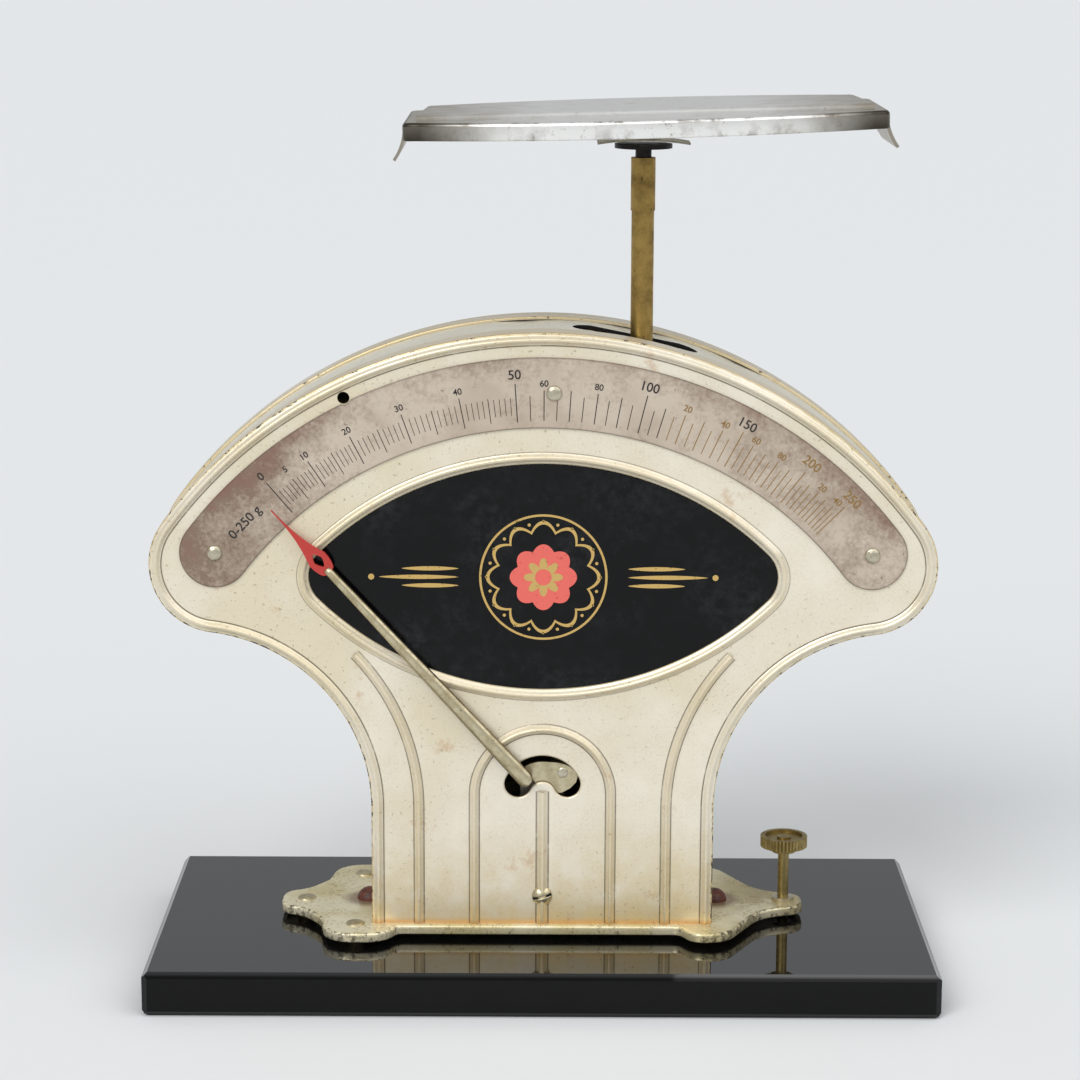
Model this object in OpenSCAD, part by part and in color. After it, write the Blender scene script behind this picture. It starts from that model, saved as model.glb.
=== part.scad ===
// Sheet-metal dial balance for letters and light doses, on a bevelled glass slab.
// A lever inside the case carries the pan's post, a guide link keeps the post upright,
// and a counterweight on the lever swings the pointer over the arched scale.
// Millimetres. X runs to the right, Y to the back, Z up. Origin: middle of the slab's underside.

/* [Glass base] */
// Length of the glass slab
slab_l = 210; // [190:1:240]
// Depth of the glass slab
slab_d = 103; // [90:1:130]
// Thickness of the glass slab
slab_t = 12; // [8:0.5:20]
// Bevel polished on all its edges
slab_bevel = 1.5; // [0.5:0.1:3]

/* [Base plate] */
// Height of the plate's top over the glass
plate_h = 4; // [3.6:0.1:6]
// Thickness of the plate's sheet
plate_t = 1.2; // [0.8:0.1:1.6]
// Height of its turned-down rim, with the sheet
plate_lip = 2.6; // [2:0.1:3]
// Reach of each pointed end from the middle
plate_reach = 72; // [70:0.5:80]
// Distance of the two side lobes from the middle
lobe_x = 50.5; // [50:0.5:52]
// Distance of the lobes' feet from the middle line
lobe_y = 22; // [20:0.5:26]
// Radius of the lobes
lobe_r = 8.2; // [7.5:0.1:9]
// How far the plate stands in front of the case
plate_margin = 2.4; // [1.5:0.1:3]

/* [Feet and fixings] */
// Radius of the rivets that hold the feet
foot_r = 2.6; // [2:0.1:3.2]
// Height of the low rivet heads
rivet_h = 0.9; // [0.6:0.1:1.2]
// Radius of the wax seals over the case fixings
seal_r = 3.5; // [2.5:0.1:4.5]
// Height of the seals
seal_h = 3.2; // [2:0.1:4.5]

/* [Levelling screw] */
// Radius of the threaded shank
shank_r = 1.5; // [1.2:0.1:2]
// Length of shank between plate and knob
shank_show = 13; // [8:0.5:20]
// Radius of the knurled knob
knob_r = 6.45; // [5:0.05:8]
// Thickness of the knob's rim
knob_t = 3; // [2:0.1:5]
// Number of knurls round the knob
knurls = 40; // [24:2:60]

/* [Case] */
// Height of the pointer's axis over the base plate
axis_h = 36; // [35:0.5:40]
// Radius of the arched top about the axis
top_r = 125; // [122:1:130]
// Radius of the rounded shoulders
shoulder_r = 18.5; // [17:0.5:20]
// Distance of the shoulders' centres from the middle
shoulder_x = 86; // [84:0.5:88]
// Radius of the hollow sweep of the neck
neck_r = 48.5; // [46:0.5:50]
// Half the width of the straight lower case
wall_x = 46; // [45:0.5:47]
// Depth of the case from front face to back face
case_d = 42; // [42:1:50]
// Thickness of the case's sheet
sheet = 0.8; // [0.6:0.1:1]
// Depth of the flange round each shell
flange_d = 9; // [7:0.5:12]
// How far the band lies inside the flanges
band_in = 2; // [1.6:0.1:2.6]
// Width of the rolled bead round the front edge
rim_w = 2.8; // [2:0.1:3.4]
// Width of the pressed beads and ribs
bead_w = 2.4; // [1.6:0.1:3]
// Height of beads and ribs over the face
bead_h = 1.1; // [0.6:0.1:1.4]

/* [Dark panel] */
// Height of the panel's lower edge over the axis
eye_low = 29.3; // [28:0.1:31]
// Strip of bare case between the panel and the scale plate
eye_gap = 9.6; // [8:0.1:12]
// Radius of its upper and lower curves
eye_curve = 85; // [80:1:90]
// Radius of its pointed ends
eye_tip_r = 8.6; // [7:0.1:10]
// Thickness of the panel
eye_t = 1; // [0.6:0.1:1.4]
// Depth of the recess that it lies in
eye_recess = 1.4; // [1.4:0.1:2]

/* [Scale plate] */
// How far the middle of the scale plate lies inside the top of the case
dial_in = 15.75; // [15:0.25:17]
// Width of the scale plate
dial_w = 18.7; // [16:0.1:20]
// Angle from the centre of each round end to that of the shoulder beside it
dial_set = 1.16; // [0:0.02:3]
// Thickness of the scale plate
dial_t = 0.6; // [0.4:0.1:1]
// Radius of its rivet heads
dial_rivet_r = 2.1; // [1.6:0.1:2.6]
// Angle of the middle rivet to the right of the top
dial_rivet_turn = 1.4; // [-3:0.1:3]

/* [Front openings and ribs] */
// Middle radius of the curved slot for the pointer's pin
slot_r = 7.2; // [7:0.1:8]
// Half the width of that slot
slot_half = 3.65; // [3.2:0.05:4]
// Angle from the top to each end of the slot
slot_angle = 66; // [60:1:70]
// Radius of the arch bead round the slot
arch_r = 18.3; // [16:0.1:20]
// Distance of the outer ribs from the middle
rib_x = 33.2; // [32:0.2:35]
// Radius of the screw heads front and back
screw_r = 2.7; // [2.2:0.1:3]
// Height of those screws over the base plate
screw_up = 7.7; // [7:0.1:10]

/* [Lever work] */
// Radius of the arbor that carries the lever
arbor_r = 1.5; // [1.2:0.1:1.8]
// Length of the lever arm from arbor to post
arm_r = 30; // [29:0.5:31]
// Angle of the arm over level, with an empty pan
arm_rest = 30; // [28:1:32]
// Width of the lever arm
arm_w = 5; // [4:0.1:6]
// Thickness of the lever's plate
lever_t = 1.6; // [1.2:0.1:2]
// Height of the guide link's stud over the axis
link_up = 55; // [52:1:56]
// Outer radius of the counterweight
weight_r = 33; // [30:0.5:33]
// Inner radius of the counterweight
weight_in_r = 13; // [12:0.5:16]
// Half the angle that the counterweight spans
weight_half = 48; // [40:1:52]
// Angle of its middle to the left of straight down
weight_aim = 50; // [46:1:54]
// Thickness of the weight's front slab
weight_front_t = 11; // [8:0.5:11.5]
// Thickness of the weight's back slab
weight_back_t = 11; // [8:0.5:11.5]

/* [Pointer] */
// Length from the axis to the pointer's tip
pointer_r = 106; // [104:0.5:108]
// Angle left of upright with an empty pan
pointer_rest = 42.5; // [40:0.5:43]
// Where the red head starts, from the axis
head_from = 83.5; // [80:0.5:86]
// Width of the pointer's arm at its foot
pointer_w = 3.4; // [2.6:0.1:4]
// Gap between the case's beads and the pointer
pointer_gap = 0.9; // [0.6:0.1:1.4]

/* [Post and pan] */
// Outer radius of the post's tube
post_r = 3; // [2.6:0.1:3.4]
// Wall of the tube
post_wall = 0.8; // [0.6:0.1:1]
// Height of the tube's top over the case
post_show = 44; // [42:1:60]
// Width of the pan
pan_w = 125; // [100:1:150]
// Depth of the pan
pan_d = 76; // [60:1:90]
// Depth of the straight edge at each end of the pan
pan_end_d = 48; // [36:1:56]
// Height of the pan's skirt
pan_skirt = 4.7; // [3:0.1:6]
// Thickness of the pan's sheet
pan_t = 0.6; // [0.5:0.1:1]
// Lean of the pan, its right side up, in degrees
pan_lean = 1.75; // [0:0.05:2]
// Height of the raised middle of the pan
platform_h = 1.4; // [0.8:0.1:2]
// Depth of the raised middle, front to back
platform_d = 40; // [30:1:60]
// Margin between the pan's edge and its raised middle
platform_in = 3.5; // [2:0.1:6]
// Height of the skirt's lower edge over the pan's seat
pan_rise = 2.3; // [2:0.1:4]
// Radius of the boss under the pan
pan_boss_r = 5; // [4:0.5:7]
// Radius of the dark flange under the pan
pan_flange_r = 7.65; // [6:0.05:9]

/* [Hidden] */
$fn = 48;

// Gaps: a piece fixed in or on another, and a piece that turns or slides
fixed_gap = 0.02;
run_gap = 0.05;
side_gap = 0.3;
// Flat margin between a pressed bead and the edge beside it
bead_set = 0.3;

// Heights and places that the rest hangs on
plate_z = slab_t + plate_h;
axis_z = plate_z + axis_h;
face_y = -case_d / 2;
shoulder_z = axis_z + sqrt(pow(top_r - shoulder_r, 2) - pow(shoulder_x, 2));
neck_x = wall_x + neck_r;
neck_z = shoulder_z - sqrt(pow(neck_r + shoulder_r, 2) - pow(neck_x - shoulder_x, 2));
neck_turn = atan2(shoulder_z - neck_z, shoulder_x - neck_x);
shoulder_turn = atan2(shoulder_z - axis_z, shoulder_x);
dial_r = top_r - dial_in;
dial_angle = 90 - shoulder_turn - dial_set;
eye_half_h = (dial_r - dial_w / 2 - eye_gap - eye_low) / 2;
eye_z = axis_z + eye_low + eye_half_h;
eye_off = eye_curve - eye_half_h;
eye_tip_x = sqrt(pow(eye_curve - eye_tip_r, 2) - pow(eye_off, 2));
eye_turn = atan2(eye_off, eye_tip_x);
screw_z = plate_z + screw_up;
post_x = arm_r * cos(arm_rest);
arm_up = arm_r * sin(arm_rest);
fork_z = axis_z + arm_up;
stud_z = axis_z + link_up;
link_pin_z = stud_z + arm_up;
tube_top = axis_z + top_r + post_show;
spigot_show = 2.5;
flange_z = tube_top + spigot_show;
flange_t = 1.1;
spring_t = 0.5;
spring_rise = 1;
boss_z = flange_z + flange_t + spring_t + spring_rise + fixed_gap * 10;
pan_top_z = boss_z + pan_skirt + pan_rise;

// Lever work, front to back
cheek_y = 15;
cheek_t = 1.2;
bracket_t = 0.8;
bracket_y = face_y + sheet + 1.2;
pin_r = 1.2;
ear_t = 1.1;
fork_drop = 14;
link_t = 1.2;
link_y = post_r + 0.6;

// Pointer's place in front of the case
pointer_t = 1.6;
pointer_y = face_y - max(bead_h, dial_t) - pointer_gap;
foot_pin_r = 1.4;

function unit(v) = v / norm(v);
function left_of(v) = [-v.y, v.x];
function cross2(a, b) = a.x * b.y - a.y * b.x;
function turned(v, a) = [v.x * cos(a) - v.y * sin(a), v.x * sin(a) + v.y * cos(a)];

// Points along an arc about c, from angle a0 to a1
function arc(c, r, a0, a1, n) = [for (i = [0 : n]) c + r * [cos(a0 + (a1 - a0) * i / n),
    sin(a0 + (a1 - a0) * i / n)]];

function flip_x(points) = [for (i = [len(points) - 1 : -1 : 0]) [-points[i].x, points[i].y]];

// One rounded corner at p, of radius r, between the edges from a and to b
function corner(a, p, b, r) =
    let (u = unit(p - a), v = unit(b - p), turn = atan2(cross2(u, v), u * v),
        side = sign(turn), start = p - u * r * tan(abs(turn) / 2),
        centre = start + left_of(u) * r * side)
    [for (i = [0 : 8]) centre + turned(start - centre, turn * i / 8)];

// Outline from corners [x, y, radius], moved inward by inset
function rounded(corners, inset = 0) =
    let (n = len(corners), at = [for (c = corners) [c.x, c.y]],
        moved = [for (i = [0 : n - 1])
            let (u = unit(at[i] - at[(i + n - 1) % n]), v = unit(at[(i + 1) % n] - at[i]))
            at[i] + inset * (left_of(u) + left_of(v)) / (1 + u * v)],
        bend = [for (i = [0 : n - 1])
            sign(cross2(at[i] - at[(i + n - 1) % n], at[(i + 1) % n] - at[i]))])
    [for (i = [0 : n - 1]) each corner(moved[(i + n - 1) % n], moved[i], moved[(i + 1) % n],
        corners[i].z - inset * bend[i])];

// Case outline in X and Z, moved inward by inset, with its foot lowered by drop
function case_right(inset, drop) = concat(
    [[wall_x - inset, plate_z - drop]],
    arc([neck_x, neck_z], neck_r + inset, 180, neck_turn, 16),
    arc([shoulder_x, shoulder_z], shoulder_r - inset, neck_turn - 180, shoulder_turn, 16),
    [for (i = [1 : 12]) [0, axis_z] + (top_r - inset) * [cos(shoulder_turn + (90 - shoulder_turn)
        * i / 12), sin(shoulder_turn + (90 - shoulder_turn) * i / 12)]]);
function case_outline(inset = 0, drop = 0) =
    let (right = case_right(inset, drop), left = flip_x(right))
    concat(right, [for (i = [1 : len(left) - 1]) left[i]]);

// Outline of the pointed oval, moved inward by inset
function eye_outline(inset = 0) =
    let (right = arc([eye_tip_x, eye_z], eye_tip_r - inset, -eye_turn, eye_turn, 10),
        top = arc([0, eye_z - eye_off], eye_curve - inset, eye_turn, 180 - eye_turn, 24))
    concat(right, [for (i = [1 : 23]) top[i]], flip_x(right),
        [for (i = [1 : 23]) [-top[i].x, 2 * eye_z - top[i].y]]);

// Corners of the base plate's front half, from its left end to its right end
plate_front = -face_y + plate_margin;
tip_left = foot_r + 4.2;
tip_right = shank_r + 3.7;
lobe_out = lobe_y + lobe_r + 0.3;
bulge_out = plate_front + 6.4;
plate_half = [
    [-plate_reach, -tip_left, tip_left - 0.4],
    [-lobe_x - lobe_r - 2.3, -tip_left - 4, 8],
    [-lobe_x - lobe_r + 0.2, -lobe_out, lobe_r],
    [-lobe_x + lobe_r - 0.2, -lobe_out, lobe_r],
    [-lobe_x + lobe_r + 3.3, -plate_front, 3],
    [wall_x - 9, -plate_front, 3],
    [wall_x - 5.5, -bulge_out, 5],
    [wall_x + 3.5, -bulge_out, 8],
    [plate_reach - 12, -tip_right - 3.8, 14],
    [plate_reach, -tip_right, tip_right - 0.4]];
plate_corners = concat(plate_half,
    [for (i = [len(plate_half) - 1 : -1 : 0]) [plate_half[i].x, -plate_half[i].y, plate_half[i].z]]);
foot_places = [[-plate_reach + tip_left, 0], [-lobe_x, -lobe_y], [-lobe_x, lobe_y]];
screw_x = plate_reach - tip_right;

// A flat piece drawn in X and Z, from y_back towards the front by t
module upright(y_back, t) {
    translate([0, y_back, 0]) rotate([90, 0, 0]) linear_extrude(t) children();
}

// A round piece along Y, from y_back towards the front by t
module round_y(x, z, r, y_back, t) {
    translate([x, y_back, z]) rotate([90, 0, 0]) cylinder(r = r, h = t);
}

// A pressed bead: its flat shape is drawn in three steps that narrow to a rounded crown,
// and the shape reads $slim, the share of the full width at each step
module pressed() {
    for (step = [[1, 0.5], [0.74, 0.84], [0.42, 1]]) {
        $slim = step[0];
        upright(face_y + sheet / 2, sheet / 2 + bead_h * step[1]) children();
    }
}

// Band of metal between two radii about the axis, over the angles left and right of upright
module ring_sector(r_in, r_out, from_right, to_left, n = 24) {
    polygon(concat(arc([0, axis_z], r_out, 90 - from_right, 90 + to_left, n),
        arc([0, axis_z], r_in, 90 + to_left, 90 - from_right, n)));
}

// Bead along the whole edge of the case, open at its foot
module rim_bead() {
    pressed() {
        slim_by = (1 - $slim) * rim_w / 2;
        inner = case_outline(bead_set + rim_w - slim_by);
        polygon(concat(case_outline(bead_set + slim_by),
            [for (i = [len(inner) - 1 : -1 : 0]) inner[i]]));
    }
}

// Bead round the pointed oval
module eye_bead() {
    pressed() {
        slim_by = (1 - $slim) * bead_w / 2;
        difference() {
            polygon(eye_outline(-bead_set - bead_w + slim_by));
            polygon(eye_outline(-bead_set - slim_by));
        }
    }
}

// Arch round the slot, rib up the middle and the two swept outer ribs
module lower_ribs() {
    rib_r = neck_x - rib_x;
    rib_end = 180 - asin(min(0.9, (eye_z - eye_half_h * 0.72 - neck_z) / rib_r));
    pressed() {
        half = $slim * bead_w / 2;
        polygon(concat([[arch_r + half, plate_z]], arc([0, axis_z], arch_r + half, 0, 180, 24),
            [[-arch_r - half, plate_z], [half - arch_r, plate_z]],
            arc([0, axis_z], arch_r - half, 180, 0, 24), [[arch_r - half, plate_z]]));
        translate([-half, plate_z]) square([2 * half, axis_h - 2]);
        for (side = [0, 1]) mirror([side, 0])
            polygon(concat([[rib_x + half, plate_z]],
                arc([neck_x, neck_z], rib_r - half, 180, rib_end, 12),
                arc([neck_x, neck_z], rib_r + half, rib_end, 180, 12),
                [[rib_x - half, plate_z]]));
    }
}

// Flange round a shell and the lip that turns in from it, open at the foot
module shell_wall(y_back) {
    difference() {
        upright(y_back, flange_d) polygon(case_outline());
        upright(y_back - sheet, flange_d) polygon(case_outline(sheet, 5));
        upright(y_back + 1, flange_d) polygon(case_outline(band_in - fixed_gap, 5));
    }
}

// Flat slab with bevelled edges
module glass_base() {
    w = slab_l / 2;
    d = slab_d / 2;
    b = slab_bevel;
    color([0.09, 0.09, 0.1]) intersection() {
        translate([0, d, 0]) rotate([90, 0, 0]) linear_extrude(slab_d)
            polygon([[b - w, 0], [w - b, 0], [w, b], [w, slab_t - b], [w - b, slab_t],
                [b - w, slab_t], [-w, slab_t - b], [-w, b]]);
        translate([-w, 0, 0]) rotate([90, 0, 90]) linear_extrude(slab_l)
            polygon([[b - d, 0], [d - b, 0], [d, b], [d, slab_t - b], [d - b, slab_t],
                [b - d, slab_t], [-d, slab_t - b], [-d, b]]);
        linear_extrude(slab_t) polygon([[b - w, -d], [w - b, -d], [w, b - d], [w, d - b],
            [w - b, d], [b - w, d], [-w, d - b], [-w, b - d]]);
    }
}

// Stamped plate with a turned-down rim
module base_plate() {
    color([0.79, 0.74, 0.56]) difference() {
        translate([0, 0, plate_z - plate_lip]) linear_extrude(plate_lip)
            polygon(rounded(plate_corners));
        translate([0, 0, plate_z - plate_lip - 1]) linear_extrude(plate_lip - plate_t + 1)
            polygon(rounded(plate_corners, plate_t));
        for (p = foot_places) translate([p.x, p.y, plate_z - 2 * plate_t])
            cylinder(r = foot_r * 0.6 + fixed_gap, h = 3 * plate_t);
        translate([screw_x, 0, plate_z - 2 * plate_t])
            cylinder(r = shank_r + 1 + fixed_gap, h = 3 * plate_t);
    }
}

// Low domed head of radius r and height h
module dome(r, h) {
    rotate_extrude() polygon(concat([[0, 0]], [for (a = [0 : 15 : 90]) [r * cos(a), h * sin(a)]]));
}

module foot_rivets() {
    color([0.70, 0.66, 0.50]) for (p = foot_places) translate([p.x, p.y, 0]) {
        translate([0, 0, slab_t]) cylinder(r = foot_r, h = plate_h - plate_t);
        translate([0, 0, plate_z - plate_t]) cylinder(r = foot_r * 0.6, h = plate_t);
        translate([0, 0, plate_z]) dome(foot_r, rivet_h);
    }
}

// Curved slot with round ends, for the pointer's pin
function slot_outline() =
    let (from = 90 - slot_angle, to = 90 + slot_angle, axis = [0, axis_z],
        end_right = axis + slot_r * [cos(from), sin(from)],
        end_left = axis + slot_r * [cos(to), sin(to)])
    concat(arc(axis, slot_r + slot_half, from, to, 20),
        [for (i = [1 : 9]) arc(end_left, slot_half, to, to + 180, 10)[i]],
        arc(axis, slot_r - slot_half, to, from, 12),
        [for (i = [1 : 9]) arc(end_right, slot_half, from + 180, from + 360, 10)[i]]);

module front_shell() {
    floor_y = face_y + eye_recess + sheet;
    color([0.87, 0.83, 0.72]) difference() {
        union() {
            upright(face_y + sheet, sheet) polygon(case_outline());
            shell_wall(face_y + flange_d);
            rim_bead();
            lower_ribs();
            eye_bead();
            upright(floor_y, eye_recess + sheet) polygon(eye_outline(-sheet));
        }
        upright(floor_y - sheet, eye_recess + bead_h + 1) polygon(eye_outline());
        upright(face_y + 2 * sheet, 3 * sheet + bead_h) polygon(slot_outline());
        round_y(0, screw_z, screw_r * 0.55 + run_gap, face_y + 2 * sheet, 4 * sheet);
        round_y(0, screw_z, screw_r + run_gap, face_y, 2 * bead_h);
    }
}

module back_shell() {
    color([0.84, 0.80, 0.69]) mirror([0, 1, 0]) difference() {
        union() {
            upright(face_y + sheet, sheet) polygon(case_outline());
            shell_wall(face_y + flange_d);
            rim_bead();
        }
        round_y(0, screw_z, screw_r * 0.55 + run_gap, face_y + 2 * sheet, 4 * sheet);
    }
}

// Strip that closes the case between the two shells, with the post's slot in its top
slot_from = post_x - 18.5;
slot_to = post_x + 15.2;
slot_w = 2 * post_r + 4;
module side_band() {
    reach = case_d - 2 * sheet - 2 * fixed_gap;
    cut_h = slot_to - slot_from;
    z = axis_z + top_r - cut_h;
    color([0.80, 0.75, 0.62]) difference() {
        upright(reach / 2, reach) polygon(case_outline(band_in));
        upright(reach / 2 + 1, reach + 2) polygon(case_outline(band_in + sheet, 5));
        translate([slot_from + slot_w / 2, -slot_w / 2, z])
            cube([slot_to - slot_from - slot_w, slot_w, cut_h]);
        for (x = [slot_from, slot_to - slot_w]) translate([x + slot_w / 2, 0, z])
            cylinder(r = slot_w / 2, h = cut_h);
    }
}

dial_rivet_angles = [-dial_angle, dial_rivet_turn, dial_angle];
module scale_plate() {
    color([0.74, 0.67, 0.63]) difference() {
        union() {
            upright(face_y, dial_t) ring_sector(dial_r - dial_w / 2, dial_r + dial_w / 2,
                dial_angle, dial_angle, 48);
            for (side = [-1, 1]) round_y(dial_r * sin(side * dial_angle),
                axis_z + dial_r * cos(dial_angle), dial_w / 2, face_y, dial_t);
        }
        for (a = dial_rivet_angles) round_y(dial_r * sin(a), axis_z + dial_r * cos(a),
            dial_rivet_r * 0.5 + fixed_gap, face_y + 1, dial_t + 2);
    }
}

module scale_rivets() {
    color([0.80, 0.78, 0.70]) for (a = dial_rivet_angles)
        translate([dial_r * sin(a), face_y - dial_t, axis_z + dial_r * cos(a)]) rotate([90, 0, 0]) {
            dome(dial_rivet_r, dial_rivet_r * 0.5);
            translate([0, 0, -dial_t]) cylinder(r = dial_rivet_r * 0.5, h = dial_t);
        }
}

module eye_panel() {
    color([0.05, 0.05, 0.06]) upright(face_y + eye_recess, eye_t)
        polygon(eye_outline(fixed_gap * 5));
}

// Bracket of the lever work: a floor, a short front cheek and a tall back cheek with the link's stud
module cheek(y_back, top_z) {
    foot = 15;
    head = 6;
    upright(y_back, cheek_t) polygon(concat([[-foot, plate_z], [foot, plate_z]],
        arc([0, top_z], head, -10, 190, 14)));
}

module mechanism_frame() {
    bore = arbor_r + run_gap;
    reach = cheek_y + cheek_t / 2;
    boss_l = case_d / 2 - sheet - reach;
    color([0.62, 0.60, 0.52]) difference() {
        union() {
            cheek(reach, stud_z);
            cheek(-cheek_y + cheek_t / 2, axis_z);
            translate([-15, -reach, plate_z]) cube([30, 2 * reach, cheek_t]);
            round_y(0, screw_z, screw_r * 1.3, -reach + cheek_t / 2, boss_l + cheek_t / 2);
            round_y(0, screw_z, screw_r * 1.3, reach + boss_l, boss_l + cheek_t / 2);
        }
        round_y(0, axis_z, bore, reach + 1, 2 * reach + 2);
        round_y(0, screw_z, screw_r * 0.55 + fixed_gap, case_d, 2 * case_d);
        round_y(0, stud_z, pin_r + fixed_gap, case_d, case_d);
    }
}

// Round-head screw with its slot, seen from the front
module case_screw() {
    head_h = screw_r * 0.62;
    difference() {
        translate([0, face_y, screw_z]) rotate([90, 0, 0]) union() {
            dome(screw_r, head_h);
            translate([0, 0, -8]) cylinder(r = screw_r * 0.55, h = 8);
        }
        translate([-screw_r, face_y - head_h - 0.1, screw_z - 0.35])
            cube([2 * screw_r, head_h * 0.55, 0.7]);
    }
}

module case_screws() {
    color([0.68, 0.66, 0.60]) {
        case_screw();
        mirror([0, 1, 0]) case_screw();
    }
}

module fixing_seals() {
    color([0.31, 0.16, 0.13]) for (side = [-1, 1])
        translate([side * (wall_x - band_in + seal_r + 0.2), 0, plate_z]) dome(seal_r, seal_h);
}

module levelling_bush() {
    color([0.80, 0.78, 0.68]) translate([screw_x, 0, 0]) difference() {
        union() {
            translate([0, 0, plate_z - plate_t - 0.6]) cylinder(r = shank_r + 1, h = plate_t + 0.6);
            translate([0, 0, plate_z]) cylinder(r = shank_r + 1.5, h = 1);
        }
        cylinder(r = shank_r + run_gap, h = 2 * plate_z);
    }
}

module levelling_screw() {
    hub_z = plate_z + 1 + shank_show;
    rim_z = hub_z + 1.6;
    color([0.72, 0.65, 0.47]) translate([screw_x, 0, 0]) difference() {
        union() {
            translate([0, 0, slab_t]) cylinder(r1 = shank_r * 0.5, r2 = shank_r, h = 1);
            translate([0, 0, slab_t + 1]) cylinder(r = shank_r, h = hub_z - slab_t - 1);
            translate([0, 0, hub_z]) cylinder(r = knob_r * 0.5, h = 1.6);
            translate([0, 0, rim_z]) cylinder(r = knob_r, h = knob_t);
            translate([0, 0, rim_z + knob_t - 0.8]) cylinder(r = knob_r * 0.3, h = 0.6);
        }
        difference() {
            translate([0, 0, rim_z + knob_t - 0.8]) cylinder(r = knob_r * 0.8, h = 2);
            translate([0, 0, rim_z]) cylinder(r = knob_r * 0.3, h = knob_t - 0.2);
        }
        for (i = [0 : knurls - 1]) rotate(i * 360 / knurls) translate([knob_r, 0, rim_z - 0.5])
            rotate(45) translate([-0.2, -0.2, 0]) cube([0.4, 0.4, knob_t + 1]);
    }
}

// Round steel arbor in both cheeks, with a collar outside the back one
module arbor() {
    reach = cheek_y + cheek_t / 2;
    color([0.62, 0.62, 0.64]) {
        round_y(0, axis_z, arbor_r, reach + 2.2, reach + 2.2 - bracket_y);
        round_y(0, axis_z, arbor_r + 1.4, reach + side_gap + 1.4, 1.4);
    }
}

// Position on the lever at radius r, a degrees left of straight down
function low_left(r, a) = [-r * sin(a), axis_z - r * cos(a)];

module lever() {
    hub_l = 10;
    end = [post_x, fork_z];
    across = left_of(unit(end - [0, axis_z])) * arm_w / 2;
    tail_r = (weight_r + weight_in_r) / 2;
    color([0.70, 0.68, 0.60]) difference() {
        union() {
            upright(lever_t / 2, lever_t) {
                polygon([[0, axis_z] - across, end - across, end + across, [0, axis_z] + across]);
                translate(end) circle(r = arm_w / 2);
                polygon(concat([[0, axis_z]],
                    arc([0, axis_z], tail_r + 4, 270 - weight_aim - 26, 270 - weight_aim + 26, 12)));
            }
            round_y(0, axis_z, arbor_r + 3.2, lever_t / 2, hub_l);
            round_y(0, axis_z, arbor_r + 3.2, lever_t / 2, lever_t);
        }
        round_y(0, axis_z, arbor_r + fixed_gap, cheek_y, 2 * cheek_y);
        round_y(end.x, end.y, pin_r + run_gap, cheek_y, 2 * cheek_y);
        for (side = [-1, 1]) {
            p = low_left(tail_r, weight_aim + side * 16);
            round_y(p.x, p.y, pin_r + fixed_gap, cheek_y, 2 * cheek_y);
        }
    }
}

// Two slabs, one on each side of the lever's tail
module weight_slab(y_back, t) {
    upright(y_back, t) polygon(concat(
        arc([0, axis_z], weight_r, 270 - weight_aim - weight_half, 270 - weight_aim + weight_half, 20),
        arc([0, axis_z], weight_in_r, 270 - weight_aim + weight_half,
            270 - weight_aim - weight_half, 12)));
}

module counterweight() {
    color([0.55, 0.47, 0.30]) difference() {
        union() {
            weight_slab(-lever_t / 2 - fixed_gap, weight_front_t);
            weight_slab(lever_t / 2 + fixed_gap + weight_back_t, weight_back_t);
        }
        for (side = [-1, 1]) {
            p = low_left((weight_r + weight_in_r) / 2, weight_aim + side * 16);
            round_y(p.x, p.y, pin_r + fixed_gap, cheek_y, 2 * cheek_y);
        }
    }
}

module weight_rivets() {
    color([0.62, 0.62, 0.64]) for (side = [-1, 1]) {
        p = low_left((weight_r + weight_in_r) / 2, weight_aim + side * 16);
        round_y(p.x, p.y, pin_r, lever_t / 2 + weight_back_t + fixed_gap,
            lever_t + weight_back_t + weight_front_t + 2 * fixed_gap);
    }
}

// Crescent on the arbor's front end, and the pin that reaches through the slot to the pointer
pin_place = slot_r * [-sin(pointer_rest), cos(pointer_rest)];
module pointer_bracket() {
    reach = pointer_y - pointer_t - 0.3;
    color([0.66, 0.62, 0.50]) {
        difference() {
            upright(bracket_y, bracket_t) {
                ring_sector(arbor_r, slot_r + slot_half - 0.4, 62, 62);
                translate([0, axis_z]) circle(r = arbor_r + 2);
            }
            round_y(0, axis_z, arbor_r + fixed_gap, bracket_y + 1, 3);
            round_y((slot_r + 0.8) * sin(pointer_rest), axis_z + (slot_r + 0.8) * cos(pointer_rest),
                0.8 + fixed_gap, bracket_y + 1, 3);
        }
        round_y(pin_place.x, axis_z + pin_place.y, foot_pin_r, bracket_y, bracket_y - reach);
    }
}

module bracket_rivet() {
    color([0.50, 0.47, 0.38])
        translate([(slot_r + 0.8) * sin(pointer_rest), bracket_y - bracket_t,
            axis_z + (slot_r + 0.8) * cos(pointer_rest)]) rotate([90, 0, 0]) {
            dome(1.45, 0.4);
            translate([0, 0, -bracket_t]) cylinder(r = 0.8, h = bracket_t);
        }
}

// The pointer is drawn upright over the axis and swung to its place
module at_pointer() {
    translate([0, 0, axis_z]) rotate([0, -pointer_rest, 0]) translate([0, 0, -axis_z]) children();
}

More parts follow.
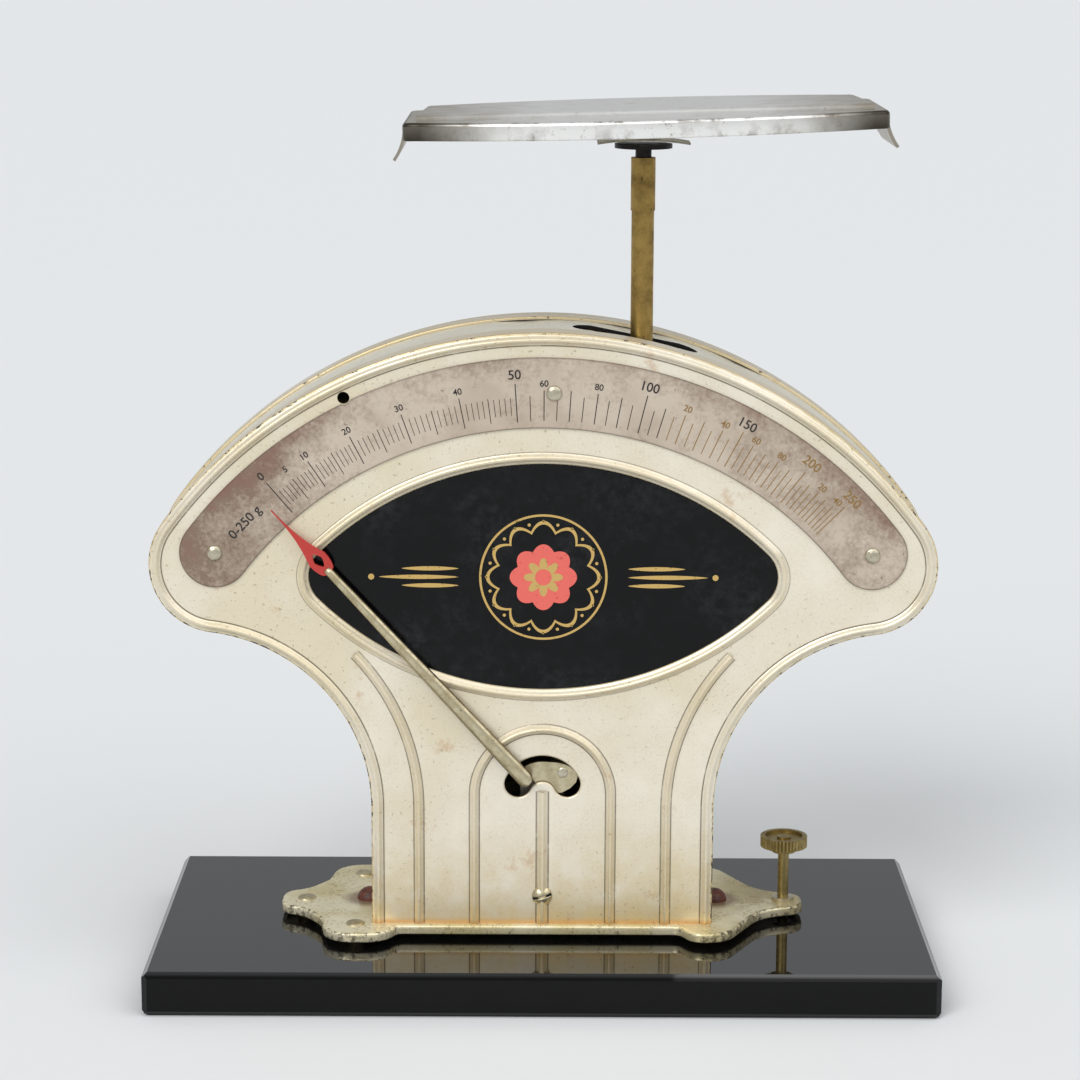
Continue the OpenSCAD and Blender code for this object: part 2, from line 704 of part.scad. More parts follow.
module pointer_arm() {
    foot = pointer_w / 2 + 0.5;
    end = pointer_w / 2 - 0.5;
    color([0.70, 0.66, 0.56]) at_pointer() difference() {
        upright(pointer_y, pointer_t) {
            polygon([[-foot, axis_z + slot_r], [foot, axis_z + slot_r],
                [end, axis_z + head_from], [-end, axis_z + head_from]]);
            translate([0, axis_z + slot_r]) circle(r = foot);
        }
        upright(pointer_y - pointer_t / 2, pointer_t)
            polygon([[0.5 - foot, axis_z + slot_r + 3], [foot - 0.5, axis_z + slot_r + 3],
                [end - 0.4, axis_z + head_from + 1], [0.4 - end, axis_z + head_from + 1]]);
        round_y(0, axis_z + slot_r, foot_pin_r + fixed_gap, pointer_y + 1, pointer_t + 2);
    }
}

// Spear with a pierced lozenge at its foot
module pointer_head() {
    end = pointer_w / 2 - 0.5;
    ring = head_from + 4.5;
    color([0.72, 0.21, 0.18]) at_pointer() difference() {
        upright(pointer_y, pointer_t * 0.6) polygon([[-end, axis_z + head_from],
            [end, axis_z + head_from], [4.2, axis_z + ring], [2.4, axis_z + ring + 5],
            [0.15, axis_z + pointer_r], [-0.15, axis_z + pointer_r], [-2.4, axis_z + ring + 5],
            [-4.2, axis_z + ring]]);
        upright(pointer_y + 1, pointer_t + 2) polygon([[0, axis_z + ring - 2.6],
            [2.2, axis_z + ring], [0, axis_z + ring + 2.6], [-2.2, axis_z + ring]]);
    }
}

// Pin that joins the lever to the post's fork
module lever_pin() {
    half = lever_t / 2 + side_gap + ear_t;
    color([0.62, 0.62, 0.64]) round_y(post_x, fork_z, pin_r, half, 2 * half);
}

// Flat link, level with the lever arm, from the frame's stud to the post
module guide_link() {
    across = left_of(unit([post_x, arm_up])) * 2.5;
    color([0.70, 0.68, 0.60]) difference() {
        upright(link_y + link_t, link_t) {
            polygon([[0, stud_z] - across, [post_x, link_pin_z] - across,
                [post_x, link_pin_z] + across, [0, stud_z] + across]);
            translate([0, stud_z]) circle(r = 3.2);
            translate([post_x, link_pin_z]) circle(r = 3.2);
        }
        round_y(0, stud_z, pin_r + run_gap, link_y + 3, 5);
        round_y(post_x, link_pin_z, pin_r + 0.1, link_y + 3, 5);
    }
}

module link_stud() {
    front = link_y - 1.2;
    back = cheek_y + cheek_t / 2;
    color([0.62, 0.62, 0.64]) {
        round_y(0, stud_z, pin_r, back, back - front);
        round_y(0, stud_z, pin_r + 1.2, cheek_y - cheek_t / 2,
            cheek_y - cheek_t / 2 - link_y - link_t - side_gap);
        round_y(0, stud_z, pin_r + 1, link_y - side_gap, 0.8);
    }
}

module post_tube() {
    color([0.55, 0.46, 0.27]) translate([post_x, 0, 0]) difference() {
        union() {
            translate([0, 0, fork_z + fork_drop]) cylinder(r = post_r, h = tube_top - fork_z - fork_drop);
            translate([0, 0, tube_top - 14]) cylinder(r = post_r + 0.25, h = 14);
        }
        translate([0, 0, fork_z]) cylinder(r = post_r - post_wall, h = tube_top - fork_z + 1);
        translate([0, 0, link_pin_z]) rotate([90, 0, 0])
            cylinder(r = pin_r + fixed_gap, h = 4 * post_r, center = true);
    }
}

// Two ears that straddle the lever, on a plug in the tube
module post_fork() {
    inner = lever_t / 2 + side_gap;
    w = post_r;
    color([0.60, 0.52, 0.32]) translate([post_x, 0, fork_z]) difference() {
        union() {
            translate([0, 0, fork_drop - 1]) cylinder(r = post_r - post_wall - fixed_gap, h = 9);
            translate([-w, -inner - ear_t, fork_drop - 3]) cube([2 * w, 2 * (inner + ear_t), 3 - fixed_gap]);
            for (y = [-inner, inner + ear_t]) translate([0, y, 0]) rotate([90, 0, 0])
                linear_extrude(ear_t) {
                    circle(r = w);
                    translate([-w, 0]) square([2 * w, fork_drop - 2]);
                }
        }
        rotate([90, 0, 0]) cylinder(r = pin_r + run_gap, h = 20, center = true);
    }
}

module link_pin() {
    front = -post_r - 0.4;
    back = link_y + link_t + 0.9;
    color([0.62, 0.62, 0.64]) {
        round_y(post_x, link_pin_z, pin_r, back, back - front);
        round_y(post_x, link_pin_z, pin_r + 0.8, back + 0.5, 0.6);
    }
}

// The pan leans about the top of its boss
module leaned() {
    translate([post_x, 0, boss_z]) rotate([0, -pan_lean, 0]) children();
}

// Pan outline: curved front and back, straight ends
function pan_outline(inset) =
    let (half_w = pan_w / 2, rise = (pan_d - pan_end_d) / 2,
        r = (half_w * half_w + rise * rise) / (2 * rise), c = pan_d / 2 - r,
        reach = half_w - inset, a = asin(reach / (r - inset)),
        back = arc([0, c], r - inset, 90 - a, 90 + a, 24))
    concat(back, [for (p = arc([0, c], r - inset, 90 + a, 90 - a, 24)) [p.x, -p.y]]);

// Strip at the pan's right end, bent down and outward
module pan_tongue() {
    bend_r = 15;
    points_out = arc([bend_r, 0], bend_r, 180, 217, 8);
    points_in = arc([bend_r, 0], bend_r + pan_t, 217, 180, 8);
    w = pan_end_d - 8;
    translate([pan_w / 2, w / 2, pan_skirt + pan_rise - pan_t]) rotate([90, 0, 0]) linear_extrude(w)
        polygon(concat(points_out, points_in));
}

module pan_platform(inset) {
    intersection() {
        polygon(pan_outline(platform_in + inset));
        square([pan_w, platform_d - 2 * inset], center = true);
    }
}

module pan_plate() {
    top = pan_skirt + pan_rise;
    color([0.73, 0.71, 0.65]) leaned() {
        difference() {
            union() {
                translate([0, 0, pan_rise]) linear_extrude(pan_skirt) polygon(pan_outline(0));
                translate([0, 0, top - pan_t]) linear_extrude(platform_h + pan_t) pan_platform(0);
            }
            translate([0, 0, pan_rise - 1]) linear_extrude(pan_skirt - pan_t + 1)
                polygon(pan_outline(pan_t));
            translate([0, 0, pan_rise]) linear_extrude(pan_skirt + platform_h - pan_t)
                pan_platform(pan_t);
        }
        cylinder(r = pan_boss_r, h = top + platform_h - pan_t / 2);
        for (side = [0, 1]) mirror([side, 0, 0]) pan_tongue();
    }
}

module pan_spigot() {
    depth = 10;
    color([0.52, 0.44, 0.28]) translate([post_x, 0, tube_top - depth])
        cylinder(r = post_r - post_wall - run_gap, h = depth + spigot_show);
}

module pan_flange() {
    color([0.20, 0.19, 0.18]) translate([post_x, 0, flange_z]) cylinder(r = pan_flange_r, h = flange_t);
}

// Thin strip bowed up in its middle, on which the pan's boss sits
module pan_spring() {
    half = 12.25;
    r = (half * half + spring_rise * spring_rise) / (2 * spring_rise);
    a = asin(half / r);
    crown = flange_z + flange_t + spring_t + spring_rise;
    color([0.45, 0.43, 0.38]) translate([post_x, 5, 0]) rotate([90, 0, 0]) linear_extrude(10)
        polygon(concat(arc([0, crown - r], r, 90 - a, 90 + a, 12),
            arc([0, crown - r], r - spring_t, 90 + a, 90 - a, 12)));
}

glass_base();
base_plate();
foot_rivets();
front_shell();
back_shell();
side_band();
scale_plate();
scale_rivets();
eye_panel();
mechanism_frame();
case_screws();
fixing_seals();
levelling_bush();
levelling_screw();
arbor();
lever();
counterweight();
weight_rivets();
pointer_bracket();
bracket_rivet();
pointer_arm();
pointer_head();
lever_pin();
guide_link();
link_stud();
post_tube();
post_fork();
link_pin();
pan_plate();
pan_spigot();
pan_flange();
pan_spring();
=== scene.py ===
# %% [markdown]
# A sheet-metal dial balance on black glass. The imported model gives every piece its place,
# and this lesson dresses it: pressed shells, an arched scale, a red pointer, a nickel pan
# and a mirror-like slab. Shapes are worked out with numpy, finishes are node materials.
# Lengths in the cells are millimetres, and one factor turns them to the scene's metres.

# %% Load the frame
import math

import bmesh
import bpy
import numpy as np
from mathutils import Matrix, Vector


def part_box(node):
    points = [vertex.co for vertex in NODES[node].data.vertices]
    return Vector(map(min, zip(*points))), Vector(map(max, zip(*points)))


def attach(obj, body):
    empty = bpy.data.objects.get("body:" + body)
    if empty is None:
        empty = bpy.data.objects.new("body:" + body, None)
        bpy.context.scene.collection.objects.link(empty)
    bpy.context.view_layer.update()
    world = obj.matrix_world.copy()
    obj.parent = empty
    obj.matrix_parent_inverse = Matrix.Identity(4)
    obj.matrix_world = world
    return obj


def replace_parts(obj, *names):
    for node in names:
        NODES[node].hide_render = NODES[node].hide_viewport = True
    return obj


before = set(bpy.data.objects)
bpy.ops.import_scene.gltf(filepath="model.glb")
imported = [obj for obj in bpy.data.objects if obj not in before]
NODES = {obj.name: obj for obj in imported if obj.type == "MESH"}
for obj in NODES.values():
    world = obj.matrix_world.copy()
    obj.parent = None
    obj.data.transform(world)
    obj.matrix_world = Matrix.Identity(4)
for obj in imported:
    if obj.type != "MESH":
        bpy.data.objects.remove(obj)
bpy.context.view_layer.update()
MM = 0.001


def box_mm(name):
    """A node's lowest and highest corner in millimetres."""
    low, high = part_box(name)
    return np.array(low) / MM, np.array(high) / MM


# %% [markdown]
# The case is drawn with tangent arcs: a wide arc over the pointer's axis, two round
# shoulders and two hollow necks that run down into straight walls. The same few radii
# give every piece that follows the case, so they are named here once, and the heights
# come from the loaded nodes.

# %% Driving sizes
PLATE_TOP = box_mm("base_plate")[1][2]
GLASS_TOP = box_mm("glass_base")[1][2]
FACE_Y = box_mm("scale_plate")[1][1]
BACK_Y = -FACE_Y
AXIS_Z = PLATE_TOP + 36
TOP_R = 125.0
SHOULDER_R, SHOULDER_X = 18.5, 86.0
NECK_R = 48.5
WALL_X = 46.0
SHOULDER_Z = AXIS_Z + math.sqrt((TOP_R - SHOULDER_R) ** 2 - SHOULDER_X**2)
NECK_X = WALL_X + NECK_R
NECK_Z = SHOULDER_Z - math.sqrt((NECK_R + SHOULDER_R) ** 2 - (NECK_X - SHOULDER_X) ** 2)
EYE_Z = AXIS_Z + 59.8
EYE_R, EYE_HALF_H, EYE_TIP_R = 85.0, 30.5, 8.6
DIAL_R, DIAL_W, DIAL_T = 109.25, 18.7, 0.6
DIAL_END = 52.7
SLOT_R, SLOT_HALF, SLOT_END = 7.2, 3.65, 66.0
print("axis at", AXIS_Z, "eye at", EYE_Z, "shoulders at", round(SHOULDER_Z, 2))

# %% [markdown]
# A path is two arrays: points, and the unit direction that leads into the piece at each
# point. A pressed edge is then a profile of (inset, height) pairs carried along the path:
# each point moves inward by the inset, which keeps tangent arcs tangent.


# %% Stretches of a path
def arc_path(cx, cz, r, start, stop, count, inward=True):
    """Points c + r(cos a, sin a) for angles in degrees, and directions to or from the centre."""
    a = np.radians(np.linspace(start, stop, count))
    out = np.stack([np.cos(a), np.sin(a)], 1)
    return np.array([cx, cz]) + r * out, -out if inward else out


def line_path(p, q, inward, count):
    """Points p(1 - t) + qt on the straight from p to q, all with one inward direction."""
    t = np.linspace(0, 1, count)[:, None]
    points = np.array(p) * (1 - t) + np.array(q) * t
    return points, np.tile(np.array(inward, float), (count, 1))


def join(*parts):
    """Several stretches as one path."""
    return np.concatenate([p[0] for p in parts]), np.concatenate([p[1] for p in parts])


def mirrored(path):
    """The same path on the other side of x = 0, run the other way round."""
    flip = np.array([-1.0, 1.0])
    return path[0][::-1] * flip, path[1][::-1] * flip


def about_axis(r, angle):
    """The point r from the pointer's axis, at an angle in degrees from the right."""
    a = math.radians(angle)
    return r * math.cos(a), AXIS_Z + r * math.sin(a)


print("three points of an arc:", arc_path(0, 0, 1, 0, 90, 3)[0].round(2).tolist())

# %% [markdown]
# Three outlines make the case's face: the case itself, the pointed oval in its middle and
# the curved slot that the pointer's pin runs in. Arcs stop a little short of where they
# meet, so that no two points fall on each other.


# %% Outlines of the face
def case_path():
    """Right foot, neck, shoulder and arch, then the left side as its mirror image."""
    neck_turn = math.degrees(math.atan2(SHOULDER_Z - NECK_Z, SHOULDER_X - NECK_X))
    top_turn = math.degrees(math.atan2(SHOULDER_Z - AXIS_Z, SHOULDER_X))
    right = join(
        line_path((WALL_X, PLATE_TOP), (WALL_X, NECK_Z - 0.5), (-1, 0), 24),
        arc_path(NECK_X, NECK_Z, NECK_R, 180, neck_turn + 0.5, 48, False),
        arc_path(SHOULDER_X, SHOULDER_Z, SHOULDER_R, neck_turn - 180, top_turn - 0.5, 48),
        arc_path(0, AXIS_Z, TOP_R, top_turn, 90, 80),
    )
    left = mirrored(right)
    return join(right, (left[0][1:], left[1][1:]))


def eye_path():
    """The pointed oval: a wide arc above and below, a small arc at each tip."""
    off = EYE_R - EYE_HALF_H
    tip_x = math.sqrt((EYE_R - EYE_TIP_R) ** 2 - off**2)
    turn = math.degrees(math.atan2(off, tip_x))
    return join(
        arc_path(tip_x, EYE_Z, EYE_TIP_R, -turn, turn, 24),
        arc_path(0, EYE_Z - off, EYE_R, turn + 1, 179 - turn, 90),
        arc_path(-tip_x, EYE_Z, EYE_TIP_R, 180 - turn, 180 + turn, 24),
        arc_path(0, EYE_Z + off, EYE_R, 181 + turn, 359 - turn, 90),
    )


def slot_path():
    """The curved slot: two arcs about the axis, joined by a half round at each end."""
    right, left = 90 - SLOT_END, 90 + SLOT_END
    return join(
        arc_path(0, AXIS_Z, SLOT_R + SLOT_HALF, right, left, 30),
        arc_path(*about_axis(SLOT_R, left), SLOT_HALF, left + 8, left + 172, 12),
        arc_path(0, AXIS_Z, SLOT_R - SLOT_HALF, left, right, 16, False),
        arc_path(*about_axis(SLOT_R, right), SLOT_HALF, right + 188, right + 352, 12),
    )


print("case", len(case_path()[0]), "eye", len(eye_path()[0]), "slot", len(slot_path()[0]), "points")

# %% [markdown]
# Meshes are written straight from arrays, with from_pydata. A surface is a grid of rows and
# columns, and its faces follow from the row and column numbers alone. Every piece stays at
# the origin with its place in its mesh, so that patterns on Object coordinates hold still.


# %% Pieces from arrays
def settle(name, mesh, material, body):
    """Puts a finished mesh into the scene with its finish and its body."""
    mesh.materials.clear()
    mesh.materials.append(material)
    piece = bpy.data.objects.new(name, mesh)
    bpy.context.scene.collection.objects.link(piece)
    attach(piece, body)
    return piece


def new_piece(name, verts, faces, body, material, rim=None, *, smooth=True):
    """One object from millimetre vertices, its quads smooth and its flat fill of triangles not.

    rim is a value per vertex that finishes can read: 0 on open sheet, 1 on an edge, and
    below 0 in a crease, which the lacquer darkens as dirt and painted shade.
    """
    mesh = bpy.data.meshes.new(name)
    mesh.from_pydata((np.asarray(verts) * MM).tolist(), [], [list(map(int, f)) for f in faces])
    if rim is not None:
        mesh.attributes.new("rim", "FLOAT", "POINT").data.foreach_set("value", np.asarray(rim, float))
    mesh.polygons.foreach_set("use_smooth", [smooth and len(f) == 4 for f in faces])
    mesh.update()
    return settle(name, mesh, material, body)


def turn_outward(piece):
    """Merges doubles and points every face of the piece outward."""
    bm = bmesh.new()
    bm.from_mesh(piece.data)
    bmesh.ops.remove_doubles(bm, verts=bm.verts, dist=0.002 * MM)
    bmesh.ops.recalc_face_normals(bm, faces=bm.faces)
    bm.to_mesh(piece.data)
    bm.free()
    return piece


def grid_faces(rows, cols, wrap=False):
    """Quads between neighbouring rows and columns, closed round the rows where wrap is set."""
    i = np.arange(rows if wrap else rows - 1)[:, None]
    j = np.arange(cols - 1)[None, :]
    a = i * cols + j
    b = ((i + 1) % rows) * cols + j
    return np.stack([a, b, b + 1, a + 1], -1).reshape(-1, 4)


def tube_faces(rows, cols):
    """Quads round a tube of closed rows, and one face over each of its ends."""
    start = np.arange(rows) * cols
    return [*grid_faces(rows, cols, True), start, start[::-1] + cols - 1]


print("a grid of 2 by 3 has the faces", grid_faces(2, 3).tolist())

# %% [markdown]
# Parts are small tuples of vertices, faces and rim values that are combined into one piece.
# A profile swept along a path gives a pressed edge, a wall joins two loops, and a flat field
# with holes is filled with triangles between its outlines. A Boolean could cut the holes
# too, but it leaves no clean loop for the edge that follows.


# %% Parts of a piece
def round_angles(count):
    """Angles once round, in radians."""
    return np.linspace(0, 2 * math.pi, count, endpoint=False)


def swept(path, profile, values, closed=True, inside=False):
    """Path point + inward direction times inset, with the profile's height third.

    values holds the rim value of each profile point. inside turns the faces over, for an
    edge that goes round a hole.
    """
    points, inward = path
    profile = np.asarray(profile, float)
    flat = points[:, None, :] + inward[:, None, :] * profile[None, :, :1]
    height = np.broadcast_to(profile[None, :, 1:], flat.shape[:2] + (1,))
    faces = grid_faces(len(points), len(profile), closed)
    verts = np.concatenate([flat, height], -1).reshape(-1, 3)
    return verts, faces[:, ::-1] if inside else faces, np.tile(values, len(points))


def filled(outline, holes=()):
    """Triangles over the field inside an outline and outside the holes, as points and faces."""
    bm = bmesh.new()
    edges = []
    for loop in (outline, *holes):
        ring = [bm.verts.new((p[0], p[1], 0)) for p in loop]
        edges += [bm.edges.new((a, b)) for a, b in zip(ring, ring[1:] + ring[:1])]
    bmesh.ops.triangle_fill(bm, use_beauty=True, use_dissolve=False, edges=edges)
    bm.verts.index_update()
    points = np.array([v.co[:] for v in bm.verts])
    faces = [[v.index for v in f.verts] for f in bm.faces]
    bm.free()
    a, b, c = (points[[f[k] for f in faces]] for k in range(3))
    area = np.cross(b - a, c - a)[:, 2]
    return points, [f if s > 0 else f[::-1] for f, s in zip(faces, area)]


def lifted(loop, height):
    """(x, y) of a loop or a field, all at one height."""
    return np.column_stack([np.asarray(loop)[:, :2], np.full(len(loop), height)])


def wall(low, high, value):
    """A closed strip of quads between two loops of the same length."""
    return np.stack([low, high], 1).reshape(-1, 3), grid_faces(len(low), 2, True), value


def both_sides(outline, holes, top, under):
    """The filled field of a sheet at its top, and again at its underside, turned over."""
    points, faces = filled(outline, holes)
    return [(lifted(points, top), faces, 0.0), (lifted(points, under), [f[::-1] for f in faces], 0.0)]


def combine(parts):
    """Joins (verts, faces, rim) parts into one."""
    verts, faces, rims, start = [], [], [], 0
    for v, f, r in parts:
        verts.append(v)
        faces += [[int(i) + start for i in face] for face in f]
        rims.append(np.broadcast_to(np.asarray(r, float), (len(v),)))
        start += len(v)
    return np.concatenate(verts), faces, np.concatenate(rims)


def upright(points, face_y=FACE_Y, side=-1):
    """(across, up, out) to X, Y, Z: out leads from the face towards the front, or the back."""
    points = np.asarray(points)
    return np.stack([points[:, 0], face_y + side * points[:, 2], points[:, 1]], 1)


print("a filled square has", len(filled([(0, 0), (1, 0), (1, 1), (0, 1)])[1]), "triangles")

# %% [markdown]
# Pressed sheet has two shapes of edge again and again. A bead is a raised line: a cosine
# squared meets the sheet level at both feet, where a half circle would leave a crease. A
# corner is a quarter round.


# %% Pressed profiles
def bump(centre, width, height, steps=11):
    """A bead's (inset, height) pairs: height times cos squared across its width."""
    u = np.linspace(-1, 1, steps)
    return [(centre + width / 2 * x, height * math.cos(math.pi / 2 * x) ** 2) for x in u]


def corner(r, steps):
    """A quarter round of radius r from the sheet's top down to its side: r(1 - sin a, cos a - 1)."""
    return [(r - r * math.sin(a), -r + r * math.cos(a)) for a in np.linspace(0, math.pi / 2, steps)]


print("a bead:", [tuple(round(c, 2) for c in p) for p in bump(0, 2.4, 1.1, 5)])

# %% [markdown]
# Finishes. Every colour is written as a web colour and turned to linear light by one
# function. One small function adds any node, sets it and links it, and gives the output
# that the next node wants. A worn finish is mostly colours laid one over another, so one
# more function lays a list of them, each held back by its masks. A finish is named for its
# real material, and the scale of each noise is 1 over a real size in millimetres.


# %% Colours and nodes
def linear(code):
    """An sRGB web colour as linear red, green, blue and alpha."""
    srgb = np.array([int(code[i : i + 2], 16) for i in (1, 3, 5)]) / 255
    rgb = np.where(srgb <= 0.04045, srgb / 12.92, ((srgb + 0.055) / 1.055) ** 2.4)
    return (*rgb.tolist(), 1.0)


def fill(tree, node, inputs):
    """Fills a node's inputs, given by name or number, with values or with other sockets."""
    for key, value in inputs.items():
        if isinstance(value, bpy.types.NodeSocket):
            tree.links.new(value, node.inputs[key])
        else:
            node.inputs[key].default_value = value


def add(tree, kind, inputs=(), out=0, **settings):
    """Adds a node, sets its properties, fills its inputs and gives one of its outputs.

    inputs is a list in the node's own order, or a dict by name or number.
    """
    node = tree.nodes.new("ShaderNode" + kind)
    for key, value in settings.items():
        setattr(node, key, value)
    fill(tree, node, inputs if isinstance(inputs, dict) else dict(enumerate(inputs)))
    return node.outputs[out]


def finish(name):
    """A fresh material with its tree, its shader and its Object coordinates."""
    material = bpy.data.materials.new(name)
    material.use_nodes = True
    tree = material.node_tree
    return material, tree, tree.nodes["Principled BSDF"], add(tree, "TexCoord", out="Object")


def coats(tree, first, *layers):
    """Colours laid one over another: each layer is its colour, its strength and its masks.

    A mask is a share from 0 to 1, or a value with two levels, which lets nothing through at
    the first level and all at the second.
    """
    base = linear(first)
    for code, share, *masks in layers:
        for mask in masks:
            if isinstance(mask, tuple):
                mask = add(tree, "MapRange", mask)
            share = add(tree, "Math", [share, mask], operation="MULTIPLY")
        base = add(tree, "Mix", {0: share, 6: base, 7: linear(code)}, 2, data_type="RGBA")
    return base


print("champagne is", [round(c, 3) for c in linear("#E3DAC2")[:3]])

# %% [markdown]
# The case wears champagne lacquer over nickelled steel: a pale metal with a soft sheen
# that turns yellower towards its foot, has grown fine brown specks and has chipped to dark
# steel along the rolled rim. Its creases are darkened with dirt and painted shade. Noises
# of different grain drive these, and the rim value of the meshes keeps the chips where hands
# and tables touched. The lacquer's own grit is a few hundredths of a millimetre, too fine
# to show, so it is drawn 0.7 mm wide.


# %% Case lacquer
def make_lacquer():
    """Champagne lacquer on nickelled sheet steel, satin and worn."""
    material, tree, shader, place = finish("champagne_lacquer_on_nickel")
    up = add(tree, "SeparateXYZ", [place], "Z")
    rim = add(tree, "Attribute", out="Fac", attribute_name="rim")
    wide, broad, blotch, middle, grit, speck, fine = (
        add(tree, "TexNoise", {
            "Vector": place, "Scale": 1 / (size * MM), "Detail": detail, "Roughness": rough,
        })
        for size, detail, rough in (
            (45, 2, 0.55), (38, 4, 0.55), (17, 5, 0.7), (7, 6, 0.65),
            (1.7, 6, 0.75), (1.1, 3, 0.6), (0.7, 3, 0.6),
        )
    )
    shoulders = add(tree, "MapRange", [wide, 0.4, 0.62, 0.0, 0.08])
    lower = add(tree, "MapRange", [up, 122 * MM, 104 * MM, 0.0, 0.07])
    torn = add(tree, "Math", [shoulders, grit], operation="ADD")
    torn = add(tree, "Math", [torn, lower], operation="ADD")
    torn = add(tree, "MapRange", [torn, 0.62, 0.65])
    chip = add(tree, "Math", [torn, add(tree, "MapRange", [rim, 0.72, 0.9])], operation="MULTIPLY")
    base = coats(
        tree, "#F1E9D8",
        ("#E6DBC0", 1.0, (broad, 0.38, 0.62)),
        ("#BFB296", 0.2, (fine, 0.42, 0.62), (middle, 0.35, 0.6)),  # grain
        ("#DCC27C", 0.5, (up, 44 * MM, 18 * MM), (middle, 0.3, 0.6)),  # yellower towards the foot, then orange just above the base plate with the next two
        ("#DDBC74", 0.3, (up, 23 * MM, 17 * MM)),
        ("#CE8C34", 0.7, (up, 17.6 * MM, 16 * MM)),
        ("#C4996C", 0.42, (blotch, 0.625, 0.69)),  # stains
        ("#8A7048", 0.5, (speck, 0.63, 0.68), (broad, 0.36, 0.55)),
        ("#C8AE6E", 0.6, (rim, 0.0, 1.0)),  # rubbed edges
        ("#58472A", 0.9, (rim, -0.05, -0.8), (middle, 0.18, 0.45)),  # dirt and painted shade in the creases
        ("#3F372C", 1.0, chip),
    )
    hollow = add(tree, "Math", [chip, -1.2, fine], operation="MULTIPLY_ADD")
    fill(tree, shader, {
        "Base Color": base,
        "Metallic": add(tree, "MapRange", [chip, 0.0, 1.0, 0.42, 0.0]),
        "Roughness": add(tree, "MapRange", [middle, 0.3, 0.7, 0.27, 0.42]),
        "Normal": add(tree, "Bump", {"Height": hollow, "Strength": 0.2, "Distance": 0.1 * MM}),
    })
    return material


LACQUER = make_lacquer()
print("lacquer made of", len(LACQUER.node_tree.nodes), "nodes")

# %% [markdown]
# Bare metals share one pattern: a tone that drifts slowly, darker tarnish in patches,
# specks of rust or verdigris, and a roughness that follows the tarnish. Only the colours,
# the grain and the amount change from nickel to brass to dull steel. The marks of polishing
# are too fine to show, so the bump that stands for them is drawn 0.8 mm wide.


# %% Bare and plated metals
def make_metal(name, bright, dull, spot, rough, patch_mm, amount, metallic=1.0):
    """A worn metal: bright tone, dull patches and spots, with a fine bump."""
    material, tree, shader, place = finish(name)
    rim = add(tree, "Attribute", out="Fac", attribute_name="rim")
    patch, drift, dots, grit = (
        add(tree, "TexNoise", {
            "Vector": place, "Scale": 1 / (size * MM), "Detail": detail, "Roughness": grain,
        })
        for size, detail, grain in (
            (patch_mm, 6, 0.65), (patch_mm * 1.7, 4, 0.55), (1.3, 4, 0.7), (0.8, 3, 0.55)
        )
    )
    patch = add(tree, "MapRange", [patch, 0.4, 0.68])
    fill(tree, shader, {
        "Base Color": coats(
            tree, bright,
            (dull, amount, patch),
            (spot, 1.0, (dots, 0.62, 0.67), (drift, 0.45, 0.6)),
            (spot, 0.75, (rim, 0.3, 1.0)),
        ),
        "Metallic": metallic,
        "Roughness": add(tree, "MapRange", [patch, 0.0, 1.0, rough, rough + 0.22]),
        "Normal": add(tree, "Bump", {"Height": grit, "Strength": 0.15, "Distance": 0.06 * MM}),
    })
    return material


SMALL_NICKEL = make_metal("small_nickel_parts", "#CFC8B4", "#A59A80", "#6B5B42", 0.28, 3, 0.6)
POINTER_NICKEL = make_metal("pointer_nickel", "#D3C8A8", "#9A8B66", "#5E4E38", 0.3, 3, 0.7)
OLD_BRASS = make_metal("aged_brass_tube", "#A88C50", "#75603A", "#4A3B26", 0.4, 4, 0.7)
KNOB_BRASS = make_metal("nickelled_brass_knob", "#A39160", "#705E38", "#473A24", 0.34, 2.5, 0.6)
SIDE_NICKEL = make_metal("nickelled_side_band", "#F6F2E4", "#E2DBC5", "#7D7358", 0.32, 12, 0.6, 0.45)
DULL_STEEL = make_metal("dull_steel_sheet", "#9A9384", "#6F685A", "#4C4232", 0.42, 5, 0.6)
TURNED_STEEL = make_metal("turned_steel", "#B7B6B2", "#8C8A84", "#5A5045", 0.28, 3, 0.4)
WEIGHT_BRASS = make_metal("unfinished_cast_brass", "#8C7A4E", "#655636", "#3E3222", 0.55, 4, 0.6)
BLUED = make_metal("blued_spring_steel", "#2E2B2A", "#201E1D", "#4A3B2C", 0.35, 3, 0.5)
print("metals made")
